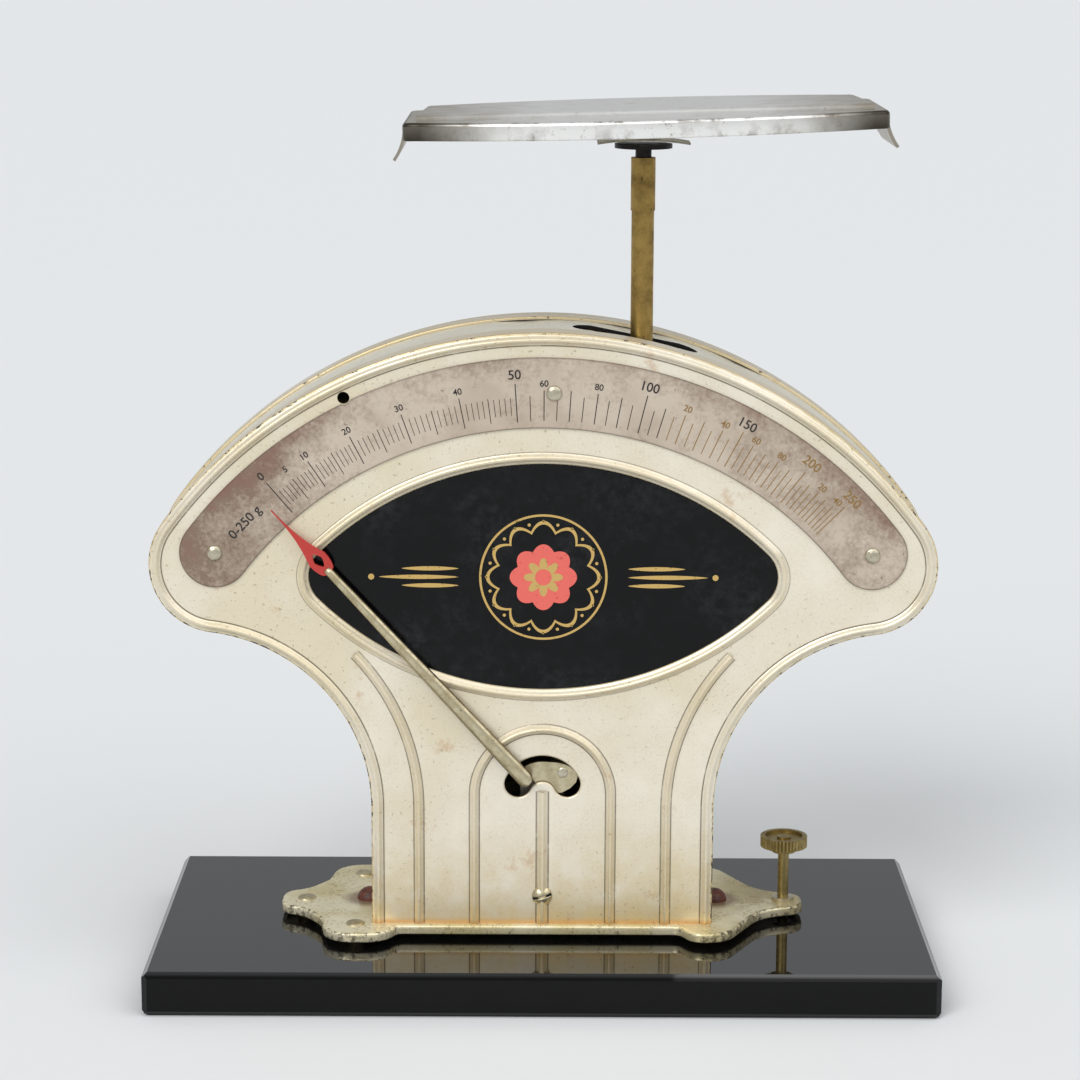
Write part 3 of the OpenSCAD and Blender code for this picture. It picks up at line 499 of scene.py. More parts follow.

# %% [markdown]
# The pan is nickel plate too, but it is worn by its use: bright in the middle over the
# post, brown-grey towards both ends and rusty in spots. Along the ends of its skirt it is
# nearly black, a painted dark reflection where the curved skirt turns aside. Noise alone
# would spread this evenly, so its masks measure the distance from the post.


# %% Nickel of the pan
def make_pan_nickel():
    """Worn nickel plate, tarnished brown-grey towards the pan's ends and along its edges, with a near black
    painted dark reflection on the ends of its skirt.
    """
    material, tree, shader, place = finish("worn_nickel_plate")
    rim = add(tree, "Attribute", out="Fac", attribute_name="rim")
    across = add(tree, "SeparateXYZ", [place], "X")
    across = add(tree, "Math", [across, 26 * MM], operation="SUBTRACT")
    from_post = add(tree, "Math", [across], operation="ABSOLUTE")
    drift, patch, rust, grit = (
        add(tree, "TexNoise", {
            "Vector": place, "Scale": 1 / (size * MM), "Detail": detail, "Roughness": rough,
        })
        for size, detail, rough in ((16, 4, 0.55), (9, 6, 0.7), (2.2, 6, 0.75), (0.8, 3, 0.55))
    )
    ends = add(tree, "MapRange", [from_post, 26 * MM, 66 * MM, 0.0, 0.8])
    tarnish = add(tree, "Math", [patch, 0.9, ends], operation="MULTIPLY_ADD")
    fill(tree, shader, {
        "Base Color": coats(
            tree, "#FAF9F6",
            ("#B5AD9E", 1.0, (tarnish, 0.45, 1.15)),
            ("#7A6038", 0.75, (rust, 0.6, 0.66), (drift, 0.42, 0.6)),
            # painted dark reflection: the skirt and its rounded edge nearly black towards the pan's ends
            ("#2F2A22", 0.95, (rim, 0.5, 0.9), (from_post, 38 * MM, 58 * MM)),
            ("#4F4535", 0.6, (rim, 0.8, 1.0), (patch, 0.5, 0.6)),
        ),
        "Metallic": 0.85,
        "Roughness": add(tree, "MapRange", [patch, 0.0, 1.0, 0.22, 0.44]),
        "Normal": add(tree, "Bump", {"Height": grit, "Strength": 0.12, "Distance": 0.05 * MM}),
    })
    return material


PAN_NICKEL = make_pan_nickel()
print("pan nickel made")

# %% [markdown]
# The stamped base has a thinner, paler lacquer. It is speckled green-brown all over, red-brown
# round the two sealing domes, darker at its right end and chipped along its lip. The domes
# stand the same way off the middle, so one distance from a mirrored place finds both.

# %% Lacquer of the base plate
SEAL_X = 47.7


def make_plate_lacquer():
    """Pale gold lacquer on the stamped base, speckled green-brown and chipped dark at its lip."""
    material, tree, shader, place = finish("lacquered_base_plate")
    rim = add(tree, "Attribute", out="Fac", attribute_name="rim")
    across = add(tree, "SeparateXYZ", [place], "X")
    depth = across.node.outputs["Y"]
    away = add(tree, "Math", [across], operation="ABSOLUTE")
    broad, clump, grit, fine = (
        add(tree, "TexNoise", {
            "Vector": place, "Scale": 1 / (size * MM), "Detail": detail, "Roughness": rough,
        })
        for size, detail, rough in ((16, 4, 0.55), (6, 4, 0.6), (1.6, 6, 0.75), (0.9, 5, 0.7))
    )
    speck = add(tree, "Math", [
        add(tree, "MapRange", [fine, 0.5, 0.6]), add(tree, "MapRange", [clump, 0.42, 0.58]),
    ], operation="MULTIPLY")
    spot = add(tree, "CombineXYZ", [away, depth])
    reach = add(tree, "VectorMath", [spot, (SEAL_X * MM, 0, 0)], "Value", operation="DISTANCE")
    reach = add(tree, "Math", [fine, 5 * MM, reach], operation="MULTIPLY_ADD")
    ends = add(tree, "MapRange", [away, 34 * MM, 48 * MM, 0.0, 0.09])
    torn = add(tree, "Math", [grit, ends], operation="ADD")
    fill(tree, shader, {
        "Base Color": coats(
            tree, "#F3EACB",
            ("#DDCF9F", 1.0, (broad, 0.4, 0.62)),
            ("#85764A", 0.55, speck),
            ("#8A7845", 0.6, (across, 48 * MM, 60 * MM), (broad, 0.25, 0.5)),
            ("#6B3F2A", 0.65, (reach, 10.5 * MM, 7.5 * MM)),  # round the seals
            ("#3B3326", 0.85, (torn, 0.6, 0.64), (rim, 0.45, 0.95)),
        ),
        "Metallic": 0.55,
        "Roughness": add(tree, "MapRange", [speck, 0.0, 1.0, 0.32, 0.58]),
        "Normal": add(tree, "Bump", {"Height": fine, "Strength": 0.25, "Distance": 0.1 * MM}),
    })
    return material


PLATE_LACQUER = make_plate_lacquer()
print("plate lacquer made")

# %% [markdown]
# The slab is opaque black glass with a fire-bright polish on top. Light enters and dies, so
# it is a black base under a glossy surface, with faint smears of dust that only change its
# roughness. Its sides were ground less finely, so they mirror less.


# %% Black glass
def make_black_glass():
    """Black glass, polished on top and left duller on its sides."""
    material, tree, shader, place = finish("polished_black_glass")
    up = add(tree, "SeparateXYZ", [place], "Z")
    wiped = add(tree, "Mapping", {"Vector": place, "Scale": (1, 2.2, 1)})
    smear = add(tree, "TexNoise", {"Vector": wiped, "Scale": 1 / (22 * MM), "Detail": 3, "Roughness": 0.6})
    polish = add(tree, "MapRange", [up, (GLASS_TOP - 1) * MM, (GLASS_TOP - 0.4) * MM, 0.2, 1.0])
    fill(tree, shader, {
        "Base Color": linear("#060607"),
        "Specular IOR Level": polish,
        "Roughness": add(tree, "MapRange", [smear, 0.5, 0.75, 0.015, 0.05]),
    })
    return material


BLACK_GLASS = make_black_glass()
print("glass made, its polish begins at", round(float(GLASS_TOP) - 1, 2), "mm")

# %% [markdown]
# The oval panel is black stove enamel: smooth, a little wavy from the firing, with pale
# scuffs and a cloudy bloom, and a painted reflection that makes the scuffs a little paler
# towards its top. Its wave is a bump 30 mm wide, which bends what it mirrors.


# %% Enamel
def make_enamel():
    """Black stove enamel with a cloudy bloom and pale scuffs, a little paler towards its top as a painted
    reflection.
    """
    material, tree, shader, place = finish("black_stove_enamel")
    up = add(tree, "SeparateXYZ", [place], "Z")
    wave, cloud, dust, scuff = (
        add(tree, "TexNoise", {
            "Vector": place, "Scale": 1 / (size * MM), "Detail": detail, "Roughness": rough,
        })
        for size, detail, rough in ((30, 1, 0.55), (24, 4, 0.6), (3.5, 6, 0.75), (2.6, 8, 0.75))
    )
    cloud = add(tree, "MapRange", [cloud, 0.46, 0.7])
    dust = add(tree, "MapRange", [dust, 0.42, 0.62, 0.0, 0.11])
    scuff = add(tree, "MapRange", [scuff, 0.62, 0.74])
    # painted reflection: the scuffs grow a little paler towards the top of the panel
    upper = add(tree, "MapRange", [up, (EYE_Z + 8) * MM, (EYE_Z + 26) * MM, 0.096, 0.112])
    pale = add(tree, "Math", [scuff, upper], operation="MULTIPLY")
    pale = add(tree, "Math", [cloud, dust, pale], operation="MULTIPLY_ADD")
    fill(tree, shader, {
        "Base Color": coats(tree, "#060607", ("#6A6C70", pale)),
        "Specular IOR Level": 0.22,
        "Roughness": add(tree, "MapRange", [cloud, 0.0, 1.0, 0.1, 0.34]),
        "Normal": add(tree, "Bump", {"Height": wave, "Strength": 0.3, "Distance": 0.3 * MM}),
    })
    return material


ENAMEL = make_enamel()
print("enamel made")

# %% [markdown]
# Thin colours are left: gold and coral ink for the ornament, black and faded ink for the
# dial, red paint on the pointer, the wax of the seals, and a near black that paints the
# shade inside slots. Each has worn through in fine spots, which show what is under it.


# %% Paints and inks
def make_paint(name, code, worn, rough=0.45, metallic=0.0, wear=0.6, size_mm=1.2):
    """A thin paint or ink that has worn through in spots about size_mm across."""
    material, tree, shader, place = finish(name)
    spots = add(tree, "TexNoise", {
        "Vector": place, "Scale": 1 / (size_mm * MM), "Detail": 6, "Roughness": 0.7,
    })
    fill(tree, shader, {
        "Base Color": coats(tree, code, (worn, 1.0, (spots, wear, wear + 0.06))),
        "Roughness": rough,
        "Metallic": metallic,
    })
    return material


GOLD_INK = make_paint("gold_ink", "#D2B06A", "#8E743F", 0.4, 0.5)
CORAL_INK = make_paint("coral_ink", "#E2675C", "#B9483F", 0.45)
BLACK_INK = make_paint("black_dial_ink", "#25201E", "#6F6058", 0.6, 0, 0.68)
FADED_INK = make_paint("faded_gold_brown_ink", "#8A6A35", "#A58C6C", 0.55, 0, 0.62)
RED_PAINT = make_paint("chipped_red_paint", "#B8352E", "#7C4A3A", 0.35, 0, 0.63, 0.9)
SEAL_WAX = make_paint("red_brown_sealing_wax", "#5C2C1E", "#3A1B13", 0.5, 0, 0.5, 1.5)
# painted shade: near black for the inside of the band's slot and of the screw slots
PAINTED_SLOT_SHADE = make_paint("painted_slot_shade", "#0B0A0A", "#141210", 0.8)
print("paints made")

# %% [markdown]
# The scale plate is a thin silvered strip that has turned pinkish grey, with purple-brown
# corrosion creeping in from both ends and from its outer edge. So the corrosion is a sum:
# how near the end, how near the edge, and two noises that make its border ragged.


# %% Silver of the scale plate
def make_dial_silver():
    """Matt silvered strip gone pinkish grey, corroded towards its ends and its outer edge."""
    material, tree, shader, place = finish("tarnished_silvered_dial")
    rim = add(tree, "Attribute", out="Fac", attribute_name="rim")
    across = add(tree, "SeparateXYZ", [place], "X")
    away = add(tree, "Math", [across], operation="ABSOLUTE")
    flat = add(tree, "VectorMath", [place, (1, 0, 1)], operation="MULTIPLY")
    radius = add(tree, "VectorMath", [flat, (0, 0, AXIS_Z * MM)], "Value", operation="DISTANCE")
    outer = add(tree, "MapRange", [radius, (DIAL_R + 1) * MM, (DIAL_R + DIAL_W / 2) * MM])
    ends = add(tree, "Math", [
        add(tree, "MapRange", [away, 40 * MM, 84 * MM]),
        add(tree, "MapRange", [across, 150 * MM, 10 * MM]),  # less of it on the right
    ], operation="MULTIPLY")
    broad, patch, stain, grit = (
        add(tree, "TexNoise", {
            "Vector": place, "Scale": 1 / (size * MM), "Detail": detail, "Roughness": rough,
        })
        for size, detail, rough in ((15, 4, 0.55), (9, 5, 0.65), (5.5, 5, 0.75), (1.1, 5, 0.7))
    )
    rot = 0.0
    for value, weight in ((ends, 0.24), (outer, 0.11), (patch, 0.5), (grit, 0.45)):
        rot = add(tree, "Math", [value, weight, rot], operation="MULTIPLY_ADD")
    rot = add(tree, "MapRange", [rot, 0.5, 0.78])
    fill(tree, shader, {
        "Base Color": coats(
            tree, "#C9BBAA",
            ("#B9A997", 1.0, (broad, 0.4, 0.65)),
            ("#776150", 0.85, rot),
            ("#87594E", 0.6, ends, outer, (patch, 0.45, 0.62)),
            ("#6F5142", 0.65, (stain, 0.66, 0.7)),
            ("#584A42", 0.7, (rim, 0.0, 1.0)),
        ),
        "Metallic": 0.2,
        "Roughness": add(tree, "MapRange", [rot, 0.0, 1.0, 0.42, 0.68]),
        "Normal": add(tree, "Bump", {"Height": grit, "Strength": 0.15, "Distance": 0.08 * MM}),
    })
    return material


DIAL_SILVER = make_dial_silver()
print("dial silver made")

# %% [markdown]
# Now the nodes that keep their shape get their finish. A CAD mesh is never changed: its
# material slots are filled again.

# %% Dress the nodes that stay
KEPT = {
    "glass_base": BLACK_GLASS,
    "foot_rivets": POINTER_NICKEL,
    "scale_rivets": SMALL_NICKEL,
    "eye_panel": ENAMEL,
    "mechanism_frame": DULL_STEEL,
    "case_screws": SMALL_NICKEL,
    "fixing_seals": SEAL_WAX,
    "levelling_bush": SMALL_NICKEL,
    "levelling_screw": KNOB_BRASS,
    "arbor": TURNED_STEEL,
    "lever": DULL_STEEL,
    "counterweight": WEIGHT_BRASS,
    "weight_rivets": TURNED_STEEL,
    "bracket_rivet": SMALL_NICKEL,
    "lever_pin": TURNED_STEEL,
    "guide_link": DULL_STEEL,
    "link_stud": TURNED_STEEL,
    "post_tube": OLD_BRASS,
    "post_fork": OLD_BRASS,
    "link_pin": TURNED_STEEL,
    "pan_spigot": BLUED,
    "pan_flange": BLUED,
    "pan_spring": DULL_STEEL,
}
for name, material in KEPT.items():
    for place in NODES[name].material_slots:
        place.material = material
print("dressed", len(KEPT), "nodes")

# %% [markdown]
# Between the two shells of the case runs a strip of sheet, a little under their flanges,
# with the long slot for the post. It is worked out flat, where the slot is two half rounds
# and two straights, and rolled back on the case's outline. A wall goes down from the slot's
# edge, near black, as painted shade inside the slot.

# %% Side band
BAND_IN, BAND_SHEET = 0.85, 0.8
POST_SLOT_FROM, POST_SLOT_TO, POST_SLOT_W = 7.5, 41.2, 10.0


def make_band():
    """The strip unrolled to (length, depth), filled round its slot, rolled back."""
    points, inward = case_path()
    points = points + inward * BAND_IN
    run = np.concatenate([[0], np.cumsum(np.linalg.norm(np.diff(points, axis=0), axis=1))])
    r, half = TOP_R - BAND_IN, POST_SLOT_W / 2
    ends = [run[-1] / 2 - r * math.asin(x / r) for x in (POST_SLOT_TO - half, POST_SLOT_FROM + half)]
    slot = join(arc_path(ends[0], 0, half, 90, 270, 24), arc_path(ends[1], 0, half, 270, 450, 24))[0]
    far = BACK_Y - BAND_IN
    edge = np.concatenate([np.stack([run, 0 * run - far], 1), np.stack([run, 0 * run + far], 1)[::-1]])

    def rolled(flat, depth):
        """(length, depth across) back on the case's outline, sunk inward by a depth."""
        along = [np.interp(flat[:, 0], run, column) for column in (*points.T, *inward.T)]
        return np.stack([along[0] + along[2] * depth, flat[:, 1], along[1] + along[3] * depth], 1)

    field, faces = filled(edge, [slot])
    piece = new_piece("side_band_sheet", rolled(field, 0.0), faces, "stand", SIDE_NICKEL)
    piece.data.polygons.foreach_set("use_smooth", [True] * len(faces))
    turn_outward(piece)
    # the slot's wall is near black: painted shade inside the slot
    verts, faces, _ = wall(rolled(slot, 0.0), rolled(slot, BAND_SHEET), 0.0)
    new_piece("side_band_slot_edge", verts, faces, "stand", PAINTED_SLOT_SHADE)
    return piece


band = make_band()
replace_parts(band, "side_band")
print("side band faces", len(band.data.polygons))

# %% [markdown]
# A pressed shell is one sheet: the flat face, a rolled bead near its edge, a tight corner,
# the flange that runs back, and a lip that turns in. That whole edge is a single profile
# carried round the case's outline, which a bevel on a flat shape could not give.

# %% Edge of a shell
FLANGE = 9.0
RIM_TO = 3.9
BEAD_H = 1.1
EDGE_BEAD_AT, EDGE_BEAD_W = 1.85, 2.9
EDGE_R = 0.4


def shell_edge():
    """Inset, height and rim value from the flat field over the bead, round the corner and back."""
    bead = bump(EDGE_BEAD_AT, EDGE_BEAD_W, BEAD_H, 13)[::-1]
    foot = (bead[0][0], 0.0, -1.0)
    # rim -1 at the bead's foot: a dark line of dirt and painted shade in its crease
    return [
        (RIM_TO, 0.0, 0.0), (3.6, 0.0, -0.1), foot,
        *[(d, h, 0.25 * h / BEAD_H) for d, h in bead[1:]],
        *[(d, h, 1.0) for d, h in corner(EDGE_R, 5)],
        (0, -0.9, 0.8), (0, -1.6, 0.3), (0, -FLANGE + 1, 0.2), (0, -FLANGE + 0.4, 0.8),
        (0.1, -FLANGE + 0.1, 1.0), (0.4, -FLANGE, 1.0), (0.8, -FLANGE, 0.5),
    ]


print("shell edge", len(shell_edge()), "points")

# %% [markdown]
# Narrow beads stiffen the sheet: one follows each neck, an arch goes round the slot, and a
# middle rib runs down from it. They are strips laid on the flat field, a hair above it, and
# they start and end level with it.

# %% Ribs
BEAD_W, RIB_H, MIDDLE_RIB_W = 3.0, 1.45, 3.6
ARCH_R = 18.3
RIB_X = 33.2
OVER_SHEET = 0.012


def bead_on(path, width=BEAD_W):
    """A bead laid along a path: yellow on its crown, with dirt and painted shade in the creases at its feet.
    """
    profile = bump(0, width, RIB_H)
    values = [0.45 * h / RIB_H for _, h in profile]
    # values below 0 at the feet: dirt and painted shade in the creases
    values[:2], values[-2:] = [-0.9, -0.4], [-0.4, -0.9]
    return swept(path, [(d, h + OVER_SHEET) for d, h in profile], values, closed=False)


def rib_path():
    """Up beside the wall, then along an arc that follows the neck."""
    r = NECK_X - RIB_X
    stop = 180 - math.degrees(math.asin((EYE_Z - 0.72 * EYE_HALF_H - NECK_Z) / r)) - 1
    return join(
        line_path((RIB_X, PLATE_TOP), (RIB_X, NECK_Z - 0.5), (-1, 0), 12),
        arc_path(NECK_X, NECK_Z, r, 180, stop, 40, False),
    )


def arch_path():
    """The arch round the slot, from its right foot to its left."""
    return join(
        line_path((ARCH_R, PLATE_TOP), (ARCH_R, AXIS_Z - 0.5), (-1, 0), 12),
        arc_path(0, AXIS_Z, ARCH_R, 0, 180, 64),
        line_path((-ARCH_R, AXIS_Z - 0.5), (-ARCH_R, PLATE_TOP), (1, 0), 12),
    )


RIBS = [
    bead_on(arch_path()),
    bead_on(rib_path()),
    bead_on(mirrored(rib_path())),
    bead_on(line_path((0, PLATE_TOP), (0, AXIS_Z + 1), (-1, 0), 30), MIDDLE_RIB_W),
]
print("ribs", len(RIBS))

# %% [markdown]
# The front shell has three holes in its field, and each has an edge of its own: a bead and
# a step down into the oval's recess, and a soft drawn lip at the slot and at the small spare
# hole over the scale.

# %% Pressed shells
SPARE_R = 1.65
SPARE_HOLE = about_axis(119.8, 90 + 26)
EYE_EDGE = [(-3.4, 0.0), *bump(-1.7, 3.0, BEAD_H), (0.0, -0.3), (0.0, -1.5)]
# -0.6 at the bead's foot: dirt and painted shade in its crease
EYE_RIM = [0.0, -0.6, *[0.4 * h / BEAD_H for _, h in EYE_EDGE[2:-3]], 0.5, 0.6, 0.6]
SLOT_EDGE = [(-0.5, 0.0), (-0.2, -0.08), (0.0, -0.3), (0.0, -0.8)]
SPARE_EDGE = [(0.0, 0.0), (0.05, -0.1), (0.05, -0.8)]


def make_shell(name, front):
    """One pressed shell, as the front with its recess, slot and ribs, or the plain back."""
    path = case_path()
    edge = np.array(shell_edge())
    parts = [swept(path, edge[:, :2], edge[:, 2], closed=False)]
    holes = []
    if front:
        spare = arc_path(*SPARE_HOLE, SPARE_R, 0, 345, 24)
        for hole, hole_edge, values in (
            (eye_path(), EYE_EDGE, EYE_RIM),
            (slot_path(), SLOT_EDGE, [0.0, 0.4, 0.6, 0.6]),
            (spare, SPARE_EDGE, [0.0, 0.6, 0.6]),
        ):
            parts.append(swept(hole, hole_edge, values, inside=True))
            holes.append(hole[0] + hole[1] * hole_edge[0][0])
        parts += RIBS
    parts.append((*filled(path[0] + path[1] * RIM_TO, holes), 0.0))
    verts, faces, rim = combine(parts)
    placed = upright(verts) if front else upright(verts, BACK_Y, 1)
    return turn_outward(new_piece(name, placed, faces, "stand", LACQUER, rim))


front_shell = make_shell("front_shell_pressed", True)
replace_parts(front_shell, "front_shell")
back_shell = make_shell("back_shell_pressed", False)
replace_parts(back_shell, "back_shell")
print("front shell faces", len(front_shell.data.polygons))

# %% [markdown]
# The scale plate is a thin strip with semicircular ends. A flat shape with a bevel would
# do, but the sweep also gives its edge the rim values that darken it. The profile has a
# small rounding that catches a line of light, and the top edge goes round the spare hole.


# %% Scale plate
def dial_path():
    """Outer arc, left end, inner arc and right end of the strip, pushed clear of the spare hole."""
    half = DIAL_W / 2
    right, left = 90 - DIAL_END, 90 + DIAL_END
    points, inward = join(
        arc_path(0, AXIS_Z, DIAL_R + half, right, left, 420),
        arc_path(*about_axis(DIAL_R, left), half, left + 6, left + 174, 24),
        arc_path(0, AXIS_Z, DIAL_R - half, left, right, 100, False),
        arc_path(*about_axis(DIAL_R, right), half, right + 186, right + 354, 24),
    )
    hole, clear = np.array(SPARE_HOLE), SPARE_R + 0.15
    away = points - hole
    far = np.linalg.norm(away, axis=1, keepdims=True)
    return np.where(far < clear, hole + away / far * clear, points), inward


def make_dial():
    """The strip: a rounded edge carried round its outline, and the field inside."""
    path = dial_path()
    edge = [(0.0, 0.0), (0.0, DIAL_T - 0.2), (0.06, DIAL_T - 0.06), (0.2, DIAL_T), (0.5, DIAL_T)]
    field, faces = filled(path[0] + path[1] * edge[-1][0])
    verts, faces, rim = combine([
        swept(path, edge, [1, 1, 1, 0.6, 0]), (lifted(field, DIAL_T), faces, 0.0),
    ])
    piece = new_piece("scale_strip", upright(verts), faces, "stand", DIAL_SILVER, rim)
    return turn_outward(piece)


dial = make_dial()
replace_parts(dial, "scale_plate")
print("scale plate faces", len(dial.data.polygons))

# %% [markdown]
# The ticks are worked out from the weights' angles: a short list of measured angles, with
# the marks between spread evenly. A painted picture would blur from close by, so the marks
# of one ink are one mesh of thin bars, a few hundredths of a millimetre over the strip.

# %% Dial marks
MARKS = [
    (0, -40.6), (10, -34.3), (20, -27.6), (30, -19.9), (40, -11.7), (50, -3.9), (60, 0.0), (80, 7.4),
    (100, 14.0), (120, 19.7), (140, 25.2), (150, 27.8), (160, 29.9), (180, 34.0), (200, 37.8), (220, 41.0),
    (240, 43.8), (250, 45.0),
]
TICKS = {50: (101.7, 112.0, 0.26), 10: (101.9, 110.0, 0.24), 5: (102.0, 108.6, 0.2), 1: (103.6, 108.2, 0.16)}
INK_OVER = DIAL_T + 0.03


def angle_of(grams):
    """Angle of a weight's mark, straight between the measured ones."""
    return float(np.interp(grams, *zip(*MARKS)))


def tick(grams):
    """A bar turned about the axis: longer and wider for the rounder weights."""
    low, high, width = next(span for step, span in TICKS.items() if grams % step == 0)
    a = math.radians(angle_of(grams))
    along = np.array([math.sin(a), math.cos(a)])
    across = np.array([math.cos(a), -math.sin(a)]) * width / 2
    corners = [along * low - across, along * low + across, along * high + across, along * high - across]
    return lifted(np.array(corners) + [0, AXIS_Z], INK_OVER)


def make_ticks(name, weights, material):
    """All marks of one ink as one mesh of thin bars."""
    verts = np.concatenate([tick(g) for g in weights])
    faces = np.arange(len(verts)).reshape(-1, 4)
    return new_piece(name, upright(verts), faces, "stand", material, smooth=False)


left_marks = list(range(0, 51)) + list(range(55, 111, 5))
right_marks = list(range(115, 251, 5))
make_ticks("marks_to_110", left_marks, BLACK_INK)
make_ticks("marks_to_250", right_marks, FADED_INK)
print("marks", len(left_marks) + len(right_marks))

# %% [markdown]
# Figures are text curves, turned to a mesh before they are put in place, because a
# finished piece keeps its place in its mesh. Each stands upright towards the axis.

# %% Dial figures
BIG_R, SMALL_R = 114.2, 111.7
LATE_R = BIG_R + 0.6
ZERO_SIZE, BIG_SIZE, SMALL_SIZE = 3.1, 3.5, 2.35
RANGE_R, RANGE_SIZE, RANGE_AT = DIAL_R - 0.9, 3.6, -46.6
STROKE_GAIN = 0.04


def figure(text, grams, size, radius, material, turn=None):
    """A number lying on the dial at its weight's angle, or at a turn in degrees."""
    curve = bpy.data.curves.new("figure_" + text, "FONT")
    curve.body = text
    curve.size = size * MM
    curve.align_x = "CENTER"
    curve.align_y = "CENTER"
    curve.offset = STROKE_GAIN * MM
    holder = bpy.data.objects.new("figure_" + text, curve)
    bpy.context.scene.collection.objects.link(holder)
    mesh = bpy.data.meshes.new_from_object(holder.evaluated_get(bpy.context.evaluated_depsgraph_get()))
    bpy.data.objects.remove(holder)
    a = angle_of(grams) if turn is None else turn
    across, up = about_axis(radius, 90 - a)
    mesh.transform(
        Matrix.Translation((across * MM, (FACE_Y - INK_OVER) * MM, up * MM))
        @ Matrix.Rotation(math.radians(a), 4, "Y")
        @ Matrix.Rotation(math.radians(90), 4, "X")
    )
    return settle("figure_%03d_at_%d" % (grams, round(10 * (a + 60))), mesh, material, "stand")


for grams in (0, 50, 100, 150):
    figure(str(grams), grams, BIG_SIZE if grams else ZERO_SIZE, BIG_R, BLACK_INK)
for grams in (5, 10, 20, 30, 40, 60, 80):
    figure(str(grams), grams, SMALL_SIZE, SMALL_R, BLACK_INK)
for grams in (200, 250):
    figure(str(grams), grams, BIG_SIZE, LATE_R, FADED_INK)
for grams in (120, 140, 160, 180, 220, 240):
    figure(str(grams % 100), grams, SMALL_SIZE, SMALL_R, FADED_INK)
figure("0-250 g", 0, RANGE_SIZE, RANGE_R, BLACK_INK, RANGE_AT)
print("figures from", SMALL_SIZE, "to", RANGE_SIZE, "mm")

# %% [markdown]
# The pointer is a half-round nickel bar. Half a cylinder would be as thick all along, so
# this is a grid round the bar and along it, whose half ellipses may shrink on the way. It
# is worked out upright over the axis, as width against radius, and turned to where it
# rests. Dirt gathers along both its feet.

# %% Pointer bar
POINTER_Y = box_mm("pointer_arm")[1][1]
REST = 42.5
ARM_T, FOOT_HALF, NECK_HALF = 1.6, 2.2, 1.2
HEAD_FROM, RING_R, TIP_R = 83.5, 88.3, 106.0
ROUND, ALONG = 22, 60


def swung(verts):
    """(width, radius, height over the pointer's back plane) turned to the resting place."""
    across, radius, out = np.asarray(verts).T
    a = math.radians(-REST)
    x = across * math.cos(a) + radius * math.sin(a)
    z = -across * math.sin(a) + radius * math.cos(a)
    return np.stack([x, POINTER_Y - out, AXIS_Z + z], 1)


def make_arm():
    """Half ellipses whose half width shrinks from foot to head, round at the foot."""
    foot = SLOT_R - FOOT_HALF * np.cos(np.radians(np.linspace(2, 90, 10)))
    radius = np.concatenate([foot, np.linspace(SLOT_R + 1, HEAD_FROM + 1.2, ALONG - 10)])
    round_foot = np.sqrt(np.maximum(FOOT_HALF**2 - (SLOT_R - radius) ** 2, 0.001))
    taper = np.interp(radius, [SLOT_R, HEAD_FROM], [FOOT_HALF, NECK_HALF])
    half = np.where(radius < SLOT_R, round_foot, taper)
    turn = np.radians(np.linspace(-12, 192, ROUND))[:, None]
    out = np.maximum(ARM_T * np.minimum(1, half / 1.1) * (0.18 + 0.82 * np.sin(turn)), 0.0)
    grid = np.stack(np.broadcast_arrays(half * np.cos(turn), radius, out), -1).reshape(-1, 3)
    dirt = np.repeat(np.clip((np.abs(np.cos(turn)) - 0.7) / 0.25, 0, 1), ALONG)
    piece = new_piece("pointer_bar", swung(grid), tube_faces(ROUND, ALONG), "beam", POINTER_NICKEL, dirt)
    return turn_outward(piece)


arm = make_arm()
print("pointer bar", len(arm.data.polygons), "faces, at", -REST, "degrees")

# %% [markdown]
# Its end is a thin red spear, pierced by a hole like a star of four points. The outline is
# a formula on each side of the widest place, mirrored, and flat sheet needs only a fill and
# two walls.

# %% Pointer spear
HEAD_T = 0.96
HOLE_HALF, HOLE_REACH = 1.25, 2.2


def pinched(v):
    """v to the power 1.5 with its sign kept: it draws a circle in towards a star of four points."""
    return np.sign(v) * np.abs(v) ** 1.5


def make_head():
    """Spear: its half width grows as the 2.5th power from the tip, then closes as an ellipse."""
    upper = np.linspace(TIP_R, RING_R, 40)
    lower = np.linspace(RING_R - 0.3, HEAD_FROM, 16)
    width = np.concatenate([
        0.12 + 2.6 * ((TIP_R - upper) / (TIP_R - RING_R)) ** 2.5,
        1.1 + 1.62 * np.sqrt(1 - ((RING_R - lower) / (RING_R - HEAD_FROM)) ** 2),
    ])
    radius = np.concatenate([upper, lower])
    outline = np.concatenate([np.stack([width, radius], 1), np.stack([-width, radius], 1)[::-1]])
    a = round_angles(40)
    hole = np.stack([HOLE_HALF * pinched(np.cos(a)), RING_R - 0.5 + HOLE_REACH * pinched(np.sin(a))], 1)
    walls = [wall(lifted(loop, 0.0), lifted(loop, HEAD_T), 1.0) for loop in (outline, hole)]
    verts, faces, rim = combine([*both_sides(outline, [hole], HEAD_T, 0.0), *walls])
    piece = new_piece("pointer_spear", swung(verts), faces, "beam", RED_PAINT, rim,
                      smooth=False)
    return turn_outward(piece)


head = make_head()
print("spear", len(head.data.polygons), "faces")

# %% [markdown]
# Behind the bar a flat lug fills most of the curved slot. Its edge is a radius against the
# angle that swells to the right, and a round pin stands out of it and carries the pointer.

# %% Pointer lug
LUG_SHEET, LUG_INNER, LUG_R, LUG_SWELL = 0.8, 2.2, 8.9, 1.8
PIN_R = 1.4
LUG_FRONT = box_mm("bracket_rivet")[1][1] - LUG_SHEET


